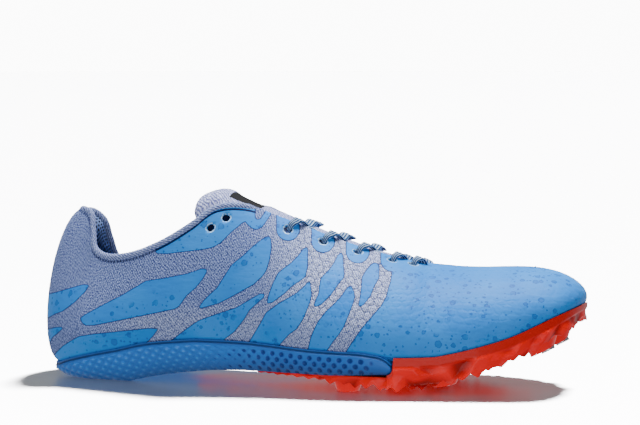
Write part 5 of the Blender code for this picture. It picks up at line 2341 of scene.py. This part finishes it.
@dataclass
class Studio:
    """A pale floor and backdrop with their own light, a dim room and soft lamps over the shoe."""

    floor_radius: float = 9.0
    backdrop_height: float = 5.0
    backdrop_light: float = 11.0
    sky: Colour = (0.94, 0.97, 1.0, 1.0)
    sky_strength: float = 0.3
    ground_strength: float = 0.96
    horizon: float = 0.3
    lamps: tuple[Lamp, ...] = (
        Lamp("key_lamp", (-0.02, 0.16, 1.2), (0.0, 0.0, 0.04), 0.8, 46.0),
        Lamp("side_lamp", (-1.0, -0.5, 0.5), (0.0, 0.0, 0.04), 0.6, 2.0),
        Lamp("front_lamp", (0.16, -0.55, 0.02), (0.04, 0.0, 0.03), 0.35, 1.3),
    )
    floor_energy: float = 150.0
    floor_angle: float = 9.0
    floor_lamp_place: Triple = (0.1, 0.75, 1.0)
    floor_lamp_aim: Triple = (0.0, 0.0, 0.04)

    @staticmethod
    def stage(name: str, bm: Shape, finish: Material) -> Item:
        """Make a piece of the studio, which throws none of its bright light back at the shoe.

        Args:
            name: Its name.
            bm: Its shape, which is used up.
            finish: Its material.

        Returns:
            The piece.
        """
        mesh = bpy.data.meshes.new(name)
        bm.to_mesh(mesh)
        bm.free()
        mesh.materials.append(finish)
        item = bpy.data.objects.new(name, mesh)
        item.visible_diffuse = False
        item.visible_glossy = False
        bpy.context.scene.collection.objects.link(item)
        return item

    def floor(self) -> Item:
        """Lay the round floor.

        Returns:
            The floor.
        """
        bm = bmesh.new()
        bmesh.ops.create_circle(bm, cap_ends=True, segments=96, radius=self.floor_radius)
        return self.stage("studio_floor", bm, PaleFloor().make())

    def backdrop(self) -> None:
        """Stand a lit white backdrop round the floor."""
        bm = bmesh.new()
        bmesh.ops.create_cone(bm, cap_ends=False, segments=96, radius1=self.floor_radius,
                              radius2=self.floor_radius, depth=self.backdrop_height)
        bmesh.ops.translate(bm, vec=(0.0, 0.0, self.backdrop_height / 2), verts=bm.verts)
        bmesh.ops.reverse_faces(bm, faces=bm.faces)
        paint = Paint("lit_backdrop")
        finish = paint.finish((0.9, 0.9, 0.9, 1.0), 1.0, Emission_Color=(1.0, 1.0, 1.0, 1.0),
                              Emission_Strength=self.backdrop_light)
        wall = self.stage("studio_backdrop", bm, finish)
        wall.visible_shadow = False

    def room(self) -> None:
        """Light the room dimly, and more from below the horizon than from above it."""
        world = bpy.data.worlds.new("studio_room")
        world.use_nodes = True
        tree = world.node_tree
        backdrop = tree.nodes["Background"]
        backdrop.inputs["Color"].default_value = self.sky
        way = tree.nodes.new("ShaderNodeTexCoord")
        split = tree.nodes.new("ShaderNodeSeparateXYZ")
        level = tree.nodes.new("ShaderNodeMapRange")
        ends = {"From Min": -self.horizon, "From Max": self.horizon,
                "To Min": self.ground_strength, "To Max": self.sky_strength}
        for name, value in ends.items():
            level.inputs[name].default_value = value
        tree.links.new(way.outputs["Generated"], split.inputs[0])
        tree.links.new(split.outputs["Z"], level.inputs["Value"])
        tree.links.new(level.outputs[0], backdrop.inputs["Strength"])
        bpy.context.scene.world = world

    @staticmethod
    def hang(light: bpy.types.Light, place: tuple, aim: tuple, named: Item, rule: Lights) -> None:
        """Hang a lamp.

        Args:
            light: Its light.
            place: Where it hangs.
            aim: What it faces.
            named: The one piece that it has a rule for.
            rule: Whether it lights that piece alone or all the others.
        """
        lamp = bpy.data.objects.new(light.name, light)
        bpy.context.scene.collection.objects.link(lamp)
        turn = (Vector(aim) - Vector(place)).to_track_quat("-Z", "Y").to_matrix().to_4x4()
        lamp.matrix_world = Matrix.Translation(place) @ turn
        linked = bpy.data.collections.new(light.name + "_rule")
        linked.objects.link(named)
        lamp.light_linking.receiver_collection = linked
        linked.collection_objects[0].light_linking.link_state = rule.value

    def build(self) -> None:
        """Set up floor, room and lamps: soft ones for the shoe, and one for the floor alone."""
        ground = self.floor()
        self.backdrop()
        self.room()
        for plan in self.lamps:
            light = bpy.data.lights.new(plan.name, "AREA")
            light.shape, light.size, light.energy = "SQUARE", plan.size, plan.energy
            self.hang(light, plan.place, plan.aim, ground, Lights.ALL_BUT)
        sun = bpy.data.lights.new("floor_lamp", "SUN")
        sun.energy, sun.angle = self.floor_energy, math.radians(self.floor_angle)
        self.hang(sun, self.floor_lamp_place, self.floor_lamp_aim, ground, Lights.ONLY)


def dress_sockets(finish: Material) -> None:
    """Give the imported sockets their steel.

    Args:
        finish: The steel.
    """
    for number in range(1, len(SOCKETS) + 1):
        node = bpy.data.objects["spike_socket_%d" % number]
        node.data.materials.clear()
        node.data.materials.append(finish)
        LOG.info("%s: in steel", node.name)


def main() -> None:
    """Build the shoe's pieces in order."""
    logging.basicConfig(level=logging.INFO, format="%(message)s")
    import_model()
    view = PhotoView()
    shop = Workshop(Last())
    view.place(shop.origin)
    Laces(shop).build(StripedLace().make())
    # Painted shade: a dark sheet behind the eyelets
    EyeletShadeSheet(shop).build(EyeletShadeNavy().make())
    lining = MeshLining().make()
    Upper(shop, view).build(FilmAndKnit().make(), lining)
    binding = RibbedKnit("binding_knit", tint(172, 186, 228), tint(62, 76, 134), 1.0, 58.0)
    CollarBinding(shop).build(binding.make())
    CollarLining(shop).build(lining)
    tongue_knit = RibbedKnit("tongue_ribs", tint(206, 214, 250), tint(84, 90, 150), 1.5, 44.0, stray=3.2)
    Tongue(shop).build(tongue_knit.make())
    Insole(shop).build(InsoleCloth().make())
    foam = FoamSole(shop)
    foam.build(MouldedFoam().make())
    SpikePlate(shop, foam).build(GlossPlate().make())
    dress_sockets(TurnedSteel().make())
    Studio().build()


if __name__ == "__main__":
    main()
